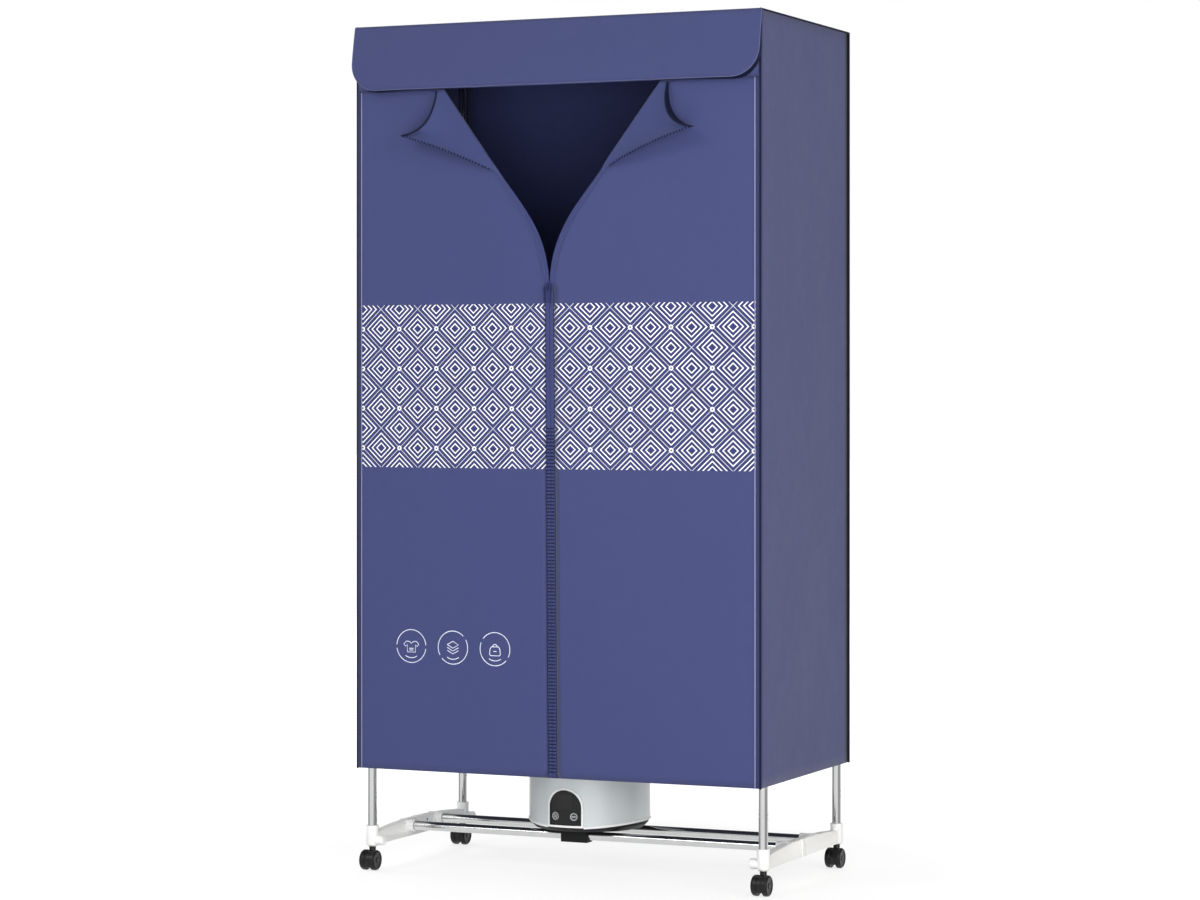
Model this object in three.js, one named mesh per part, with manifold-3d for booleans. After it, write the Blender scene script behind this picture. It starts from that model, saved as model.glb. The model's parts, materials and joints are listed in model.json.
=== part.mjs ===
// Fabric drying cabinet: a cloth cover over a tube frame on castors, with a round heater pod in its base.
// Millimetres, +Z up, front towards -Y. The origin is the bottom centre of the whole part.
import * as THREE from "three";
import { mergeVertices } from "three/addons/utils/BufferGeometryUtils.js";
import Module from "manifold-3d";

const wasm = await Module();
wasm.setup();

// ---------------------------------------------------------------- driving dimensions
const ROUND = 16; // sides of a round section
const SEAM = 0.3; // left between two pieces that are sewn, seated or resting together

// cover
const COVER_WIDTH = 768;
const COVER_DEPTH = 440;
const COVER_TOP = 1500;
const COVER_HEM = 185.5;
const CLOTH = 1.5;
const FLOOR_LIFT = 1.5; // floor cloth above the hem
const VALANCE_DROP = 114.5; // roof edge down to the valance's bottom
const VALANCE_CORNER = 50;
const VALANCE_LEAN = 9.4; // degrees out of plumb, over the folded corners
const VALANCE_OVERHANG = 3; // past the cover's side, each side

// zip and V opening
const SLIDER_Z = 1034; // where the zip stands open down to
const ZIP_GAP = 1.2; // between the two chains
const CHAIN_WIDTH = 6.2;
const CHAIN_THICK = 3;
const LEAN_HEM = 3; // how far the front stands out at the zip, at the hem
const LEAN_SLIDER = 17;
const LEAN_TOP = 18;
const FOLD_START_X = 99; // where the corner starts to fold out
const FOLD_START_Z = 1238;
const FOLD_END_X = 208; // where the fold goes under the valance
const EASE_LOW = 96; // how long the opening stays close to the zip line
const EASE_HIGH = 84; // how long it runs straight below the fold
const FOLD_RADIUS = 4;
const LAPEL_CLOTH = 1.3;
const LAPEL_TIP_X = 276;
const LAPEL_TIP_Z = 1302;
const LAPEL_PROUD = 40; // tip in front of the cover's front plane
const LAPEL_HOLLOW = 36; // how much the upper edge draws in
const LAPEL_BELLY = 10; // how much the lower edge draws in
const LAPEL_ROOT = 12; // least width of the folded corner

// zip slider and pull
const SLIDER_WIDTH = 11;
const SLIDER_HEIGHT = 16;
const SLIDER_PLATE = 1.4;
const SLIDER_PLAY = 0.6;
const SLIDER_WEB = 0.6;
const BAIL_HEIGHT = 5.6;
const BAIL_WIDTH = 2.6;
const PULL_BAR = 0.9; // radius of the bar that hangs in the bail
const PULL_LENGTH = 30;
const PULL_WIDTH = 8;
const PULL_THICK = 1.3;
const PULL_ARM = 1.6; // width of each arm beside the bail
const PULL_WINDOW = 9; // how far down the arms reach

// tube frame
const TUBE_RADIUS = 8;
const TUBE_WALL = 0.8;
const COVER_PLAY = 0.5; // cloth to tube
const UPRIGHT_Y = 181; // half of the front to rear distance
const SOCKET_RADIUS = 11;
const SOCKET_DEPTH = 15; // how far a tube goes into its socket
const SOCKET_REACH = 22; // rod socket's mouth, inward of the upright's axis

// base bracket
const BRACKET_BOTTOM = 42;
const SOCKET_TOP = 79;
const SOCKET_FLOOR = 63;
const SOCKET_CHAMFER = 3;
const BEAM_WIDTH = 14;
const BEAM_BOTTOM = 44;
const BEAM_CROWN = 75; // beam's top at the middle
const BEAM_FALL = 9; // lower at the corners
const STUB_RADIUS = 9;
const STUB_Z = 53;
const STUB_REACH = 24;
const STUB_CHAMFER = 1.5;
const ROD_Y = 57;
const ROD_Z = 65;
const TONGUE_LENGTH = 12;
const TONGUE_INSET = 3;
const SLEEVE_STEP = 1.5;
const SLEEVE_LENGTH = 14;

// top bracket
const TOP_BEAM_HEIGHT = 28;
const TOP_BEAM_INNER = 8; // inward of the upright's axis
const PEG_LENGTH = 16;
const HANGING_ROD_DROP = 37; // rod's axis below the roof
const RAIL_INSET = 14; // rail's axis behind the cover's front

// castor
const WHEEL_RADIUS = 18;
const WHEEL_WIDTH = 9.4;
const WHEEL_ROUNDING = 2.4;
const WHEEL_DISH = 1;
const WHEEL_CAP = 1; // closed outer face over the axle's end
const HOOD_WIDTH = 10.4;
const HOOD_RADIUS = 17.2;
const HOOD_NOTCH = 7; // open height under the hood, between the wheels
const AXLE_RADIUS = 2;
const AXLE_PLAY = 0.15;
const STEM_RADIUS = 4.5;
const STEM_TOP = 58;
const NECK_RADIUS = 6;
const CASTOR_TRAIL = 8; // axle in front of the stem

// heater pod
const POD_X = -30;
const POD_RADIUS = 108.5;
const POD_WALL = 2.5;
const POD_EDGE = 84; // shell's lower edge at the front and rear
const POD_ARCH = 8; // and how much higher it is at the sides
const POD_TOP = 238;
const POD_SHOULDER = 12;
const PAN_BOTTOM = 76;
const PAN_TOP = 112;
const PAN_BEVEL = 8;
const OUTLET_RADIUS = 88;
const OUTLET_LEDGE = 4;
const GRILLE_THICK = 3.4;
const GRILLE_BAR = 4;
const GRILLE_RINGS = 3;
const GRILLE_SPOKES = 6;
const CLIP_WIDTH = 52;
const CLIP_WALL = 3.5;

// control window
const BEZEL_WIDTH = 68.6;
const BEZEL_BOTTOM = 84.3;
const BEZEL_HEIGHT = 69.7;
const BEZEL_RIM = 3.8;
const BEZEL_PROUD = 1.2;
const WINDOW_PROUD = 0.4;
const KEY_RADIUS = 7.75;
const KEY_SPREAD = 17.5; // from the window's middle
const KEY_Z = 104;
const KEY_PROUD = 1.1;
const KEY_LENGTH = 4.8;
const POST_RADIUS = 3;
const POST_Z = 128;
const BOARD_WIDTH = 54;
const BOARD_HEIGHT = 54;
const BOARD_THICK = 1.6;
const BOARD_INSET = 9.1; // board's rear face, inside the shell's outer face

// fan, heater and gland
const MOTOR_RADIUS = 26;
const MOTOR_TOP = 120;
const SHAFT_RADIUS = 3;
const SHAFT_LENGTH = 24;
const HUB_RADIUS = 20;
const HUB_HEIGHT = 26;
const HUB_LIFT = 3;
const BLADES = 7;
const BLADE_TIP = 72;
const BLADE_CHORD = 28;
const BLADE_THICK = 2;
const BLADE_PITCH = 35; // degrees
const HEATER_Z = 165;
const HEATER_RING = 10;
const HEATER_RING_THICK = 3;
const HEATER_WIDTH = 120;
const HEATER_DEPTH = 64;
const HEATER_HEIGHT = 20;
const HEATER_SLOTS = 7;
const HEATER_SLOT = 9;
const HEATER_ARM = 12;
const HEATER_END = 4; // left closed at the slots' ends
const GLAND_Z = 98;
const GLAND_RADIUS = 7;
const GLAND_BORE = 3.5;
const GLAND_FLANGE = 10;
const GLAND_LENGTH = 16;
const GLAND_INSIDE = 3; // how far it stands in from the pan's wall
const GLAND_FLANGE_THICK = 2;

// ---------------------------------------------------------------- worked out from them
const HALF_WIDTH = COVER_WIDTH / 2;
const HALF_DEPTH = COVER_DEPTH / 2;
const LEFT = -1;
const RIGHT = 1;
const UPRIGHT_X = HALF_WIDTH - CLOTH - COVER_PLAY - TUBE_RADIUS;
const WALL_EDGE = HALF_WIDTH - CLOTH - SEAM; // where a wall's cloth ends beside the next wall
const ROOF_UNDER = COVER_TOP - CLOTH;
const PANEL_TOP = COVER_TOP - VALANCE_DROP - SEAM;
const HEADER_BOTTOM = PANEL_TOP + SEAM;
const BORE_RADIUS = TUBE_RADIUS + SEAM;
const SOCKET_MOUTH = UPRIGHT_X - SOCKET_REACH;
const ROD_HALF = SOCKET_MOUTH + SOCKET_DEPTH - SEAM;
const POD_INNER = POD_RADIUS - POD_WALL;
const PAN_RADIUS = POD_INNER - SEAM;
const TOP_BEAM_BOTTOM = ROOF_UNDER - SEAM - TOP_BEAM_HEIGHT;

// ---------------------------------------------------------------- solids
function toSolid(geometry) {
  const bare = geometry.clone();
  bare.deleteAttribute("normal");
  bare.deleteAttribute("uv");
  const merged = mergeVertices(bare, 1e-4);
  const corners = merged.index.array;
  const triVerts = [];
  for (let i = 0; i < corners.length; i += 3) {
    const [a, b, c] = [corners[i], corners[i + 1], corners[i + 2]];
    if (a !== b && b !== c && c !== a) triVerts.push(a, b, c);
  }
  return new wasm.Manifold(
    new wasm.Mesh({
      numProp: 3,
      vertProperties: merged.attributes.position.array,
      triVerts: new Uint32Array(triVerts),
    }),
  );
}

function toGeometry(solid) {
  const made = solid.getMesh();
  const geometry = new THREE.BufferGeometry();
  geometry.setAttribute("position", new THREE.BufferAttribute(made.vertProperties, 3));
  geometry.setIndex(new THREE.BufferAttribute(made.triVerts, 1));
  geometry.computeVertexNormals();
  return geometry;
}

const join = (...solids) => solids.reduce((whole, piece) => whole.add(piece));
const cut = (solid, ...tools) => tools.reduce((left, tool) => left.subtract(tool), solid);
const common = (a, b) => a.intersect(b);

function boxGeometry(x0, x1, y0, y1, z0, z1) {
  const geometry = new THREE.BoxGeometry(x1 - x0, y1 - y0, z1 - z0);
  return geometry.translate((x0 + x1) / 2, (y0 + y1) / 2, (z0 + z1) / 2);
}

const box = (...sides) => toSolid(boxGeometry(...sides));

// Turns a profile of [radius, distance along the axis] pairs round the x, y or z axis.
function turned(profile, axis, sides = ROUND) {
  const points = profile.map(([radius, along]) => new THREE.Vector2(radius, along));
  const geometry = new THREE.LatheGeometry(points, sides);
  if (axis === "z") geometry.rotateX(Math.PI / 2);
  if (axis === "x") geometry.rotateZ(-Math.PI / 2);
  return toSolid(geometry);
}

// A solid bar from one end to the other along an axis that passes through the point `at`.
function bar(axis, radius, from, to, at = [0, 0, 0], sides = ROUND) {
  const profile = [
    [0, from],
    [radius, from],
    [radius, to],
    [0, to],
  ];
  return turned(profile, axis, sides).translate(at);
}

const tube = (axis, outer, inner, from, to, at, sides = ROUND) =>
  cut(bar(axis, outer, from, to, at, sides), bar(axis, inner, from - 1, to + 1, at, sides));

// Pushes a flat outline, drawn in the yz, xz or xy plane, along the third axis.
function prism(outline, plane, from, to) {
  const geometry = new THREE.ExtrudeGeometry(outline, {
    depth: to - from,
    bevelEnabled: false,
    curveSegments: 8,
  });
  if (plane === "xy") geometry.translate(0, 0, from);
  if (plane === "yz") geometry.rotateX(Math.PI / 2).rotateZ(Math.PI / 2).translate(from, 0, 0);
  if (plane === "xz") geometry.rotateX(Math.PI / 2).translate(0, to, 0);
  return toSolid(geometry);
}

// A closed cloth of even thickness about a grid of points, row by row.
function clothSolid(rows, thickness) {
  const count = rows.length;
  const width = rows[0].length;
  const vertices = [];
  const indices = [];
  for (const side of [0.5, -0.5]) {
    for (let i = 0; i < count; i += 1) {
      for (let j = 0; j < width; j += 1) {
        const across = rows[i][Math.min(j + 1, width - 1)].clone().sub(rows[i][Math.max(j - 1, 0)]);
        const along = rows[Math.min(i + 1, count - 1)][j].clone().sub(rows[Math.max(i - 1, 0)][j]);
        const normal = across.cross(along).normalize();
        vertices.push(...normal.multiplyScalar(side * thickness).add(rows[i][j]).toArray());
      }
    }
  }
  const index = (i, j, back) => back * count * width + i * width + j;
  const quad = (a, b, c, d) => indices.push(a, b, c, a, c, d);
  for (let i = 0; i < count - 1; i += 1) {
    for (let j = 0; j < width - 1; j += 1) {
      quad(index(i, j, 0), index(i, j + 1, 0), index(i + 1, j + 1, 0), index(i + 1, j, 0));
      quad(index(i, j, 1), index(i + 1, j, 1), index(i + 1, j + 1, 1), index(i, j + 1, 1));
    }
    quad(index(i, 0, 0), index(i + 1, 0, 0), index(i + 1, 0, 1), index(i, 0, 1));
    const last = width - 1;
    quad(index(i, last, 0), index(i, last, 1), index(i + 1, last, 1), index(i + 1, last, 0));
  }
  for (let j = 0; j < width - 1; j += 1) {
    const end = count - 1;
    quad(index(0, j, 0), index(0, j, 1), index(0, j + 1, 1), index(0, j + 1, 0));
    quad(index(end, j, 0), index(end, j + 1, 0), index(end, j + 1, 1), index(end, j, 1));
  }
  const geometry = new THREE.BufferGeometry();
  geometry.setAttribute("position", new THREE.Float32BufferAttribute(vertices, 3));
  geometry.setIndex(indices);
  return toSolid(geometry);
}

// ---------------------------------------------------------------- materials
const material = (color, roughness, metalness) =>
  new THREE.MeshStandardMaterial({ color, roughness, metalness });
const clothBlue = material(0x4c5380, 0.9, 0);
const chainBlue = material(0x3c436e, 0.7, 0);
const whitePlastic = material(0xe6e6e6, 0.45, 0);
const brightTube = material(0xc8c8c8, 0.2, 1);
const blackPlastic = material(0x1c1d1e, 0.45, 0);
const wheelBlack = material(0x202122, 0.55, 0);
const silverShell = material(0xbcc3c5, 0.4, 0.1);
const windowBlack = material(0x2c2e2e, 0.25, 0);
const keyGrey = material(0x9a9c9e, 0.4, 0);
const boardGreen = material(0x2c5a3c, 0.6, 0);
const bareMetal = material(0x9a9c9e, 0.4, 1);

const cabinet = new THREE.Group();
cabinet.position.y = LAPEL_PROUD / 2;

// Adds a named piece; side -1 mirrors it to the left.
function add(name, solid, finish, parent = cabinet, side = RIGHT) {
  const mesh = new THREE.Mesh(toGeometry(solid), finish);
  mesh.name = name;
  mesh.scale.x = side;
  parent.add(mesh);
  return mesh;
}

// ---------------------------------------------------------------- base frame
// The front half of a side beam ends in a pocket, and the rear half's tongue goes into it.
function beamJoint(front, halfWidth, bottom, top, x, half) {
  const tongue = (grow, from, to) => {
    const side = halfWidth - TONGUE_INSET + grow;
    const low = bottom + TONGUE_INSET - grow;
    return box(x - side, x + side, from, to, low, top - TONGUE_INSET + grow);
  };
  if (front) return cut(half, tongue(SEAM, -TONGUE_LENGTH - SEAM, 1));
  return join(half, tongue(0, -TONGUE_LENGTH, TONGUE_LENGTH));
}

function beamOutline(end) {
  const outline = new THREE.Shape();
  const crown = (y) => BEAM_CROWN - BEAM_FALL * (y / UPRIGHT_Y) ** 2;
  const steps = 6;
  outline.moveTo(-UPRIGHT_Y, BEAM_BOTTOM);
  outline.lineTo(end, BEAM_BOTTOM);
  for (let i = steps; i >= 0; i -= 1) {
    const y = end + ((-UPRIGHT_Y - end) * (steps - i)) / steps;
    outline.lineTo(y, crown(y));
  }
  return outline;
}

function baseBracket(front) {
  const corner = [UPRIGHT_X, -UPRIGHT_Y, 0];
  const socket = turned(
    [
      [0, BRACKET_BOTTOM],
      [SOCKET_RADIUS - SOCKET_CHAMFER, BRACKET_BOTTOM],
      [SOCKET_RADIUS, BRACKET_BOTTOM + SOCKET_CHAMFER],
      [SOCKET_RADIUS, SOCKET_TOP],
      [0, SOCKET_TOP],
    ],
    "z",
  ).translate(corner);
  const stub = turned(
    [
      [0, UPRIGHT_X - STUB_REACH],
      [STUB_RADIUS - STUB_CHAMFER, UPRIGHT_X - STUB_REACH],
      [STUB_RADIUS, UPRIGHT_X - STUB_REACH + STUB_CHAMFER],
      [STUB_RADIUS, UPRIGHT_X],
      [0, UPRIGHT_X],
    ],
    "x",
  ).translate([0, -UPRIGHT_Y, STUB_Z]);
  const outer = UPRIGHT_X + BEAM_WIDTH / 2;
  const inner = UPRIGHT_X - BEAM_WIDTH / 2;
  const end = -SEAM / 2;
  const beam = prism(beamOutline(end), "yz", inner, outer);
  const rodSocket = bar("x", SOCKET_RADIUS, SOCKET_MOUTH, outer, [0, -ROD_Y, ROD_Z]);
  let whole = join(socket, stub, beam, rodSocket);
  if (front) {
    const band = box(inner, outer + SLEEVE_STEP, end - SLEEVE_LENGTH, end, BEAM_BOTTOM, BEAM_CROWN);
    whole = join(whole, band);
  }
  whole = cut(
    whole,
    bar("z", BORE_RADIUS, SOCKET_FLOOR, SOCKET_TOP + 1, corner),
    bar("z", STEM_RADIUS + SEAM, BRACKET_BOTTOM - 1, STEM_TOP + SEAM, corner),
    bar("x", BORE_RADIUS, SOCKET_MOUTH - 1, SOCKET_MOUTH + SOCKET_DEPTH, [0, -ROD_Y, ROD_Z]),
  );
  return beamJoint(front, BEAM_WIDTH / 2, BEAM_BOTTOM, BEAM_CROWN - 2, UPRIGHT_X, whole);
}

const rod = (y, z) => tube("x", TUBE_RADIUS, TUBE_RADIUS - TUBE_WALL, -ROD_HALF, ROD_HALF, [0, y, z]);

// A rear half is the front half turned round, so it's mirrored front to rear.
function addCorner(name, solid, finish, side, end) {
  const mesh = add(name, solid, finish, cabinet, side);
  mesh.scale.y = end;
}

for (const [sideName, side] of [
  ["left", LEFT],
  ["right", RIGHT],
]) {
  addCorner("base_bracket_front_" + sideName, baseBracket(true), whitePlastic, side, 1);
  addCorner("base_bracket_rear_" + sideName, baseBracket(false), whitePlastic, side, -1);
}
add("front_base_rod", rod(-ROD_Y, ROD_Z), brightTube);
add("rear_base_rod", rod(ROD_Y, ROD_Z), brightTube);

// ---------------------------------------------------------------- castors
function castorHood() {
  const axle = [0, -CASTOR_TRAIL, WHEEL_RADIUS];
  const half = HOOD_WIDTH / 2;
  const drum = bar("x", HOOD_RADIUS, -half, half, axle);
  const neck = bar("z", NECK_RADIUS, WHEEL_RADIUS, BRACKET_BOTTOM - SEAM);
  const stem = bar("z", STEM_RADIUS, WHEEL_RADIUS, STEM_TOP);
  const neckClear = (from, to) =>
    box(from, to, -2 * NECK_RADIUS, 2 * NECK_RADIUS, 0, 2 * WHEEL_RADIUS + SEAM);
  const front = -CASTOR_TRAIL - WHEEL_RADIUS;
  const rear = -CASTOR_TRAIL + WHEEL_RADIUS;
  return cut(
    join(drum, neck, stem),
    box(-half - 1, half + 1, front, rear, 0, HOOD_NOTCH),
    bar("x", AXLE_RADIUS + AXLE_PLAY, -half - 1, half + 1, axle),
    neckClear(half, 2 * NECK_RADIUS),
    neckClear(-2 * NECK_RADIUS, -half),
  );
}

function castorAxle() {
  const half = HOOD_WIDTH / 2 + WHEEL_WIDTH - WHEEL_DISH - WHEEL_CAP;
  return bar("x", AXLE_RADIUS, -half, half, [0, -CASTOR_TRAIL, WHEEL_RADIUS]);
}

function castorWheel() {
  const inner = HOOD_WIDTH / 2 + SEAM;
  const outer = inner + WHEEL_WIDTH;
  const wheel = turned(
    [
      [0, inner],
      [WHEEL_RADIUS, inner],
      [WHEEL_RADIUS, outer - WHEEL_ROUNDING],
      [WHEEL_RADIUS - WHEEL_ROUNDING, outer],
      [WHEEL_RADIUS - 2 * WHEEL_ROUNDING, outer - WHEEL_DISH],
      [0, outer - WHEEL_DISH],
    ],
    "x",
  );
  const bore = bar("x", AXLE_RADIUS + AXLE_PLAY, inner - 1, outer - WHEEL_DISH - WHEEL_CAP);
  return cut(wheel, bore).translate([0, -CASTOR_TRAIL, WHEEL_RADIUS]);
}

for (const [name, x, y] of [
  ["front_left", -UPRIGHT_X, -UPRIGHT_Y],
  ["front_right", UPRIGHT_X, -UPRIGHT_Y],
  ["rear_left", -UPRIGHT_X, UPRIGHT_Y],
  ["rear_right", UPRIGHT_X, UPRIGHT_Y],
]) {
  const castor = new THREE.Group();
  castor.position.set(x, y, 0);
  cabinet.add(castor);
  const inward = x < 0 ? RIGHT : LEFT;
  add("castor_hood_" + name, castorHood(), blackPlastic, castor);
  add("castor_axle_" + name, castorAxle(), bareMetal, castor);
  add("castor_wheel_inner_" + name, castorWheel(), wheelBlack, castor, inward);
  add("castor_wheel_outer_" + name, castorWheel(), wheelBlack, castor, -inward);
}

// ---------------------------------------------------------------- upper frame
const UPRIGHT_FOOT = SOCKET_FLOOR + SEAM;
const UPRIGHT_HEAD = TOP_BEAM_BOTTOM - SEAM;
const HANGING_ROD_Z = ROOF_UNDER - HANGING_ROD_DROP;
const RAIL_Y = HALF_DEPTH - RAIL_INSET;
const RAIL_Z = ROOF_UNDER - RAIL_INSET;

function upright() {
  const at = [UPRIGHT_X, -UPRIGHT_Y, 0];
  return tube("z", TUBE_RADIUS, TUBE_RADIUS - TUBE_WALL, UPRIGHT_FOOT, UPRIGHT_HEAD, at);
}

function topBracket(front) {
  const inner = UPRIGHT_X - TOP_BEAM_INNER;
  const top = ROOF_UNDER - SEAM;
  const nose = -(HALF_DEPTH - CLOTH - SEAM);
  const beam = box(inner, WALL_EDGE, nose, -SEAM / 2, TOP_BEAM_BOTTOM, top);
  const pegRadius = TUBE_RADIUS - TUBE_WALL - SEAM;
  const pegAt = [UPRIGHT_X, -UPRIGHT_Y, 0];
  const peg = bar("z", pegRadius, TOP_BEAM_BOTTOM - PEG_LENGTH, TOP_BEAM_BOTTOM + 1, pegAt);
  const socket = (y, z) => bar("x", SOCKET_RADIUS, SOCKET_MOUTH, inner + 1, [0, y, z]);
  const lug = bar("x", SOCKET_RADIUS, inner, WALL_EDGE, [0, -ROD_Y, HANGING_ROD_Z]);
  const bore = (y, z) =>
    bar("x", BORE_RADIUS, SOCKET_MOUTH - 1, SOCKET_MOUTH + SOCKET_DEPTH, [0, y, z]);
  const whole = cut(
    join(beam, peg, lug, socket(-ROD_Y, HANGING_ROD_Z), socket(-RAIL_Y, RAIL_Z)),
    bore(-ROD_Y, HANGING_ROD_Z),
    bore(-RAIL_Y, RAIL_Z),
  );
  const half = (WALL_EDGE - inner) / 2;
  return beamJoint(front, half, TOP_BEAM_BOTTOM, top, inner + half, whole);
}

for (const [sideName, side] of [
  ["left", LEFT],
  ["right", RIGHT],
]) {
  addCorner("upright_front_" + sideName, upright(), brightTube, side, 1);
  addCorner("upright_rear_" + sideName, upright(), brightTube, side, -1);
  addCorner("top_bracket_front_" + sideName, topBracket(true), whitePlastic, side, 1);
  addCorner("top_bracket_rear_" + sideName, topBracket(false), whitePlastic, side, -1);
}
add("hanging_rod_front", rod(-ROD_Y, HANGING_ROD_Z), brightTube);
add("hanging_rod_rear", rod(ROD_Y, HANGING_ROD_Z), brightTube);
add("top_rail_front", rod(-RAIL_Y, RAIL_Z), brightTube);
add("top_rail_rear", rod(RAIL_Y, RAIL_Z), brightTube);

// ---------------------------------------------------------------- cover walls
const backInner = HALF_DEPTH - CLOTH;
const wallTop = ROOF_UNDER - SEAM;
add(
  "cover_roof",
  box(-HALF_WIDTH, HALF_WIDTH, -HALF_DEPTH, HALF_DEPTH, ROOF_UNDER, COVER_TOP),
  clothBlue,
);
add("cover_back", box(-WALL_EDGE, WALL_EDGE, backInner, HALF_DEPTH, COVER_HEM, wallTop), clothBlue);
for (const [sideName, side] of [
  ["left", LEFT],
  ["right", RIGHT],
]) {
  const wall = box(HALF_WIDTH - CLOTH, HALF_WIDTH, -HALF_DEPTH, HALF_DEPTH, COVER_HEM, wallTop);
  add("cover_" + sideName + "_side", wall, clothBlue, cabinet, side);
}
add(
  "cover_header",
  box(-WALL_EDGE, WALL_EDGE, -HALF_DEPTH, -backInner, HEADER_BOTTOM, wallTop),
  clothBlue,
);

function coverFloor() {
  const bottom = COVER_HEM + FLOOR_LIFT;
  const top = bottom + CLOTH;
  const holes = [bar("z", POD_RADIUS + 2 * SEAM, bottom - 1, top + 1, [POD_X, 0, 0], 2 * ROUND)];
  for (const x of [-UPRIGHT_X, UPRIGHT_X]) {
    for (const y of [-UPRIGHT_Y, UPRIGHT_Y]) {
      holes.push(bar("z", BORE_RADIUS, bottom - 1, top + 1, [x, y, 0]));
    }
  }
  const edge = backInner - SEAM;
  return cut(box(-WALL_EDGE, WALL_EDGE, -edge, edge, bottom, top), ...holes);
}
add("cover_floor", coverFloor(), clothBlue);

// The valance hangs from the roof's front edge, with both lower corners rounded.
function valance() {
  const half = HALF_WIDTH + VALANCE_OVERHANG;
  const length = VALANCE_DROP / Math.cos(THREE.MathUtils.degToRad(VALANCE_LEAN));
  const outline = new THREE.Shape();
  outline.moveTo(-half, 0);
  outline.lineTo(-half, VALANCE_CORNER - length);
  outline.absarc(VALANCE_CORNER - half, VALANCE_CORNER - length, VALANCE_CORNER, Math.PI, 1.5 * Math.PI);
  outline.absarc(half - VALANCE_CORNER, VALANCE_CORNER - length, VALANCE_CORNER, -Math.PI / 2, 0);
  outline.lineTo(half, 0);
  return prism(outline, "xz", 0, CLOTH).translate([0, 0, -SEAM]);
}
const valanceHinge = new THREE.Group();
valanceHinge.position.set(0, -HALF_DEPTH - SEAM - CLOTH, COVER_TOP + SEAM);
valanceHinge.rotation.x = THREE.MathUtils.degToRad(-VALANCE_LEAN);
cabinet.add(valanceHinge);
add("valance", valance(), clothBlue, valanceHinge);

// ---------------------------------------------------------------- front panels, zip and folded corners
// The front stands out from the corner posts in a straight line to the zip; lean is how far, at the zip.
function lean(z) {
  if (z <= SLIDER_Z) {
    return LEAN_HEM + ((LEAN_SLIDER - LEAN_HEM) * (z - COVER_HEM)) / (SLIDER_Z - COVER_HEM);
  }
  return LEAN_SLIDER + ((LEAN_TOP - LEAN_SLIDER) * (z - SLIDER_Z)) / (PANEL_TOP - SLIDER_Z);
}

// Middle of the cloth's thickness on the right half of the front.
function frontPoint(x, z, out = 0) {
  const y = -HALF_DEPTH + CLOTH / 2 - lean(z) * (1 - x / HALF_WIDTH) - out;
  return new THREE.Vector3(x, y, z);
}

const foldStart = new THREE.Vector2(FOLD_START_X, FOLD_START_Z);
const foldEnd = new THREE.Vector2(FOLD_END_X, PANEL_TOP);
const foldRun = foldEnd.clone().sub(foldStart).normalize();
const openingEdge = new THREE.CubicBezierCurve(
  new THREE.Vector2(ZIP_GAP / 2, SLIDER_Z),
  new THREE.Vector2(ZIP_GAP / 2 + 2, SLIDER_Z + EASE_LOW),
  foldStart.clone().addScaledVector(foldRun, -EASE_HIGH),
  foldStart,
);
const OPENING_STEPS = 8;

function zipChain() {
  const rows = [frontRow(ZIP_GAP / 2, COVER_HEM), frontRow(ZIP_GAP / 2, SLIDER_Z)];
  const points = openingEdge.getPoints(OPENING_STEPS).slice(1, -1);
  for (const point of points) rows.push(frontRow(point.x, point.y));
  rows.push(frontRow(FOLD_START_X - foldRun.x, FOLD_START_Z - foldRun.y));
  return clothSolid(rows, CHAIN_THICK);
}

const frontRow = (x, z, width = CHAIN_WIDTH) => [frontPoint(x, z), frontPoint(x + width, z)];

function panelCloth() {
  const outer = WALL_EDGE;
  const tape = CHAIN_WIDTH + SEAM;
  const edge = [[ZIP_GAP / 2 + tape, COVER_HEM]];
  for (const point of openingEdge.getPoints(OPENING_STEPS)) edge.push([point.x + tape, point.y]);
  edge.push([FOLD_END_X + FOLD_RADIUS, PANEL_TOP]);
  const rows = edge.map(([x, z]) => [frontPoint(x, z), frontPoint(outer, z)]);
  return clothSolid(rows, CLOTH);
}

// The corner beside the opening is folded forwards and outwards; its tip stands well clear of the front.
function lapelEdge() {
  const top = new THREE.Vector2(FOLD_END_X + LAPEL_ROOT, PANEL_TOP);
  const tip = new THREE.Vector2(LAPEL_TIP_X, LAPEL_TIP_Z);
  const foot = new THREE.Vector2(FOLD_START_X + LAPEL_ROOT, FOLD_START_Z + LAPEL_ROOT / 3);
  const hollow = top.clone().lerp(tip, 0.5).add(new THREE.Vector2(-LAPEL_HOLLOW, -LAPEL_HOLLOW));
  const belly = tip.clone().lerp(foot, 0.5).add(new THREE.Vector2(0, LAPEL_BELLY));
  return [new THREE.QuadraticBezierCurve(top, hollow, tip), new THREE.QuadraticBezierCurve(tip, belly, foot)];
}

function lapelRow(fold, rim, swell) {
  const way = rim.clone().sub(fold);
  const run = way.length();
  way.normalize();
  const row = [];
  const place = (distance, out) =>
    row.push(frontPoint(fold.x + way.x * distance, fold.y + way.y * distance, out));
  place(FOLD_RADIUS + 2, 0);
  const turns = 3;
  for (let i = 0; i <= turns; i += 1) {
    const angle = (Math.PI * i) / turns;
    place(FOLD_RADIUS * (1 - Math.sin(angle)), FOLD_RADIUS * (1 - Math.cos(angle)));
  }
  const tipOut = LAPEL_PROUD - lean(LAPEL_TIP_Z) * (1 - LAPEL_TIP_X / HALF_WIDTH) - 2 * FOLD_RADIUS;
  const steps = 4;
  for (let i = 1; i <= steps; i += 1) {
    const share = i / steps;
    place(FOLD_RADIUS + (run - FOLD_RADIUS) * share, 2 * FOLD_RADIUS + tipOut * swell * share ** 1.5);
  }
  return row;
}

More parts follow.
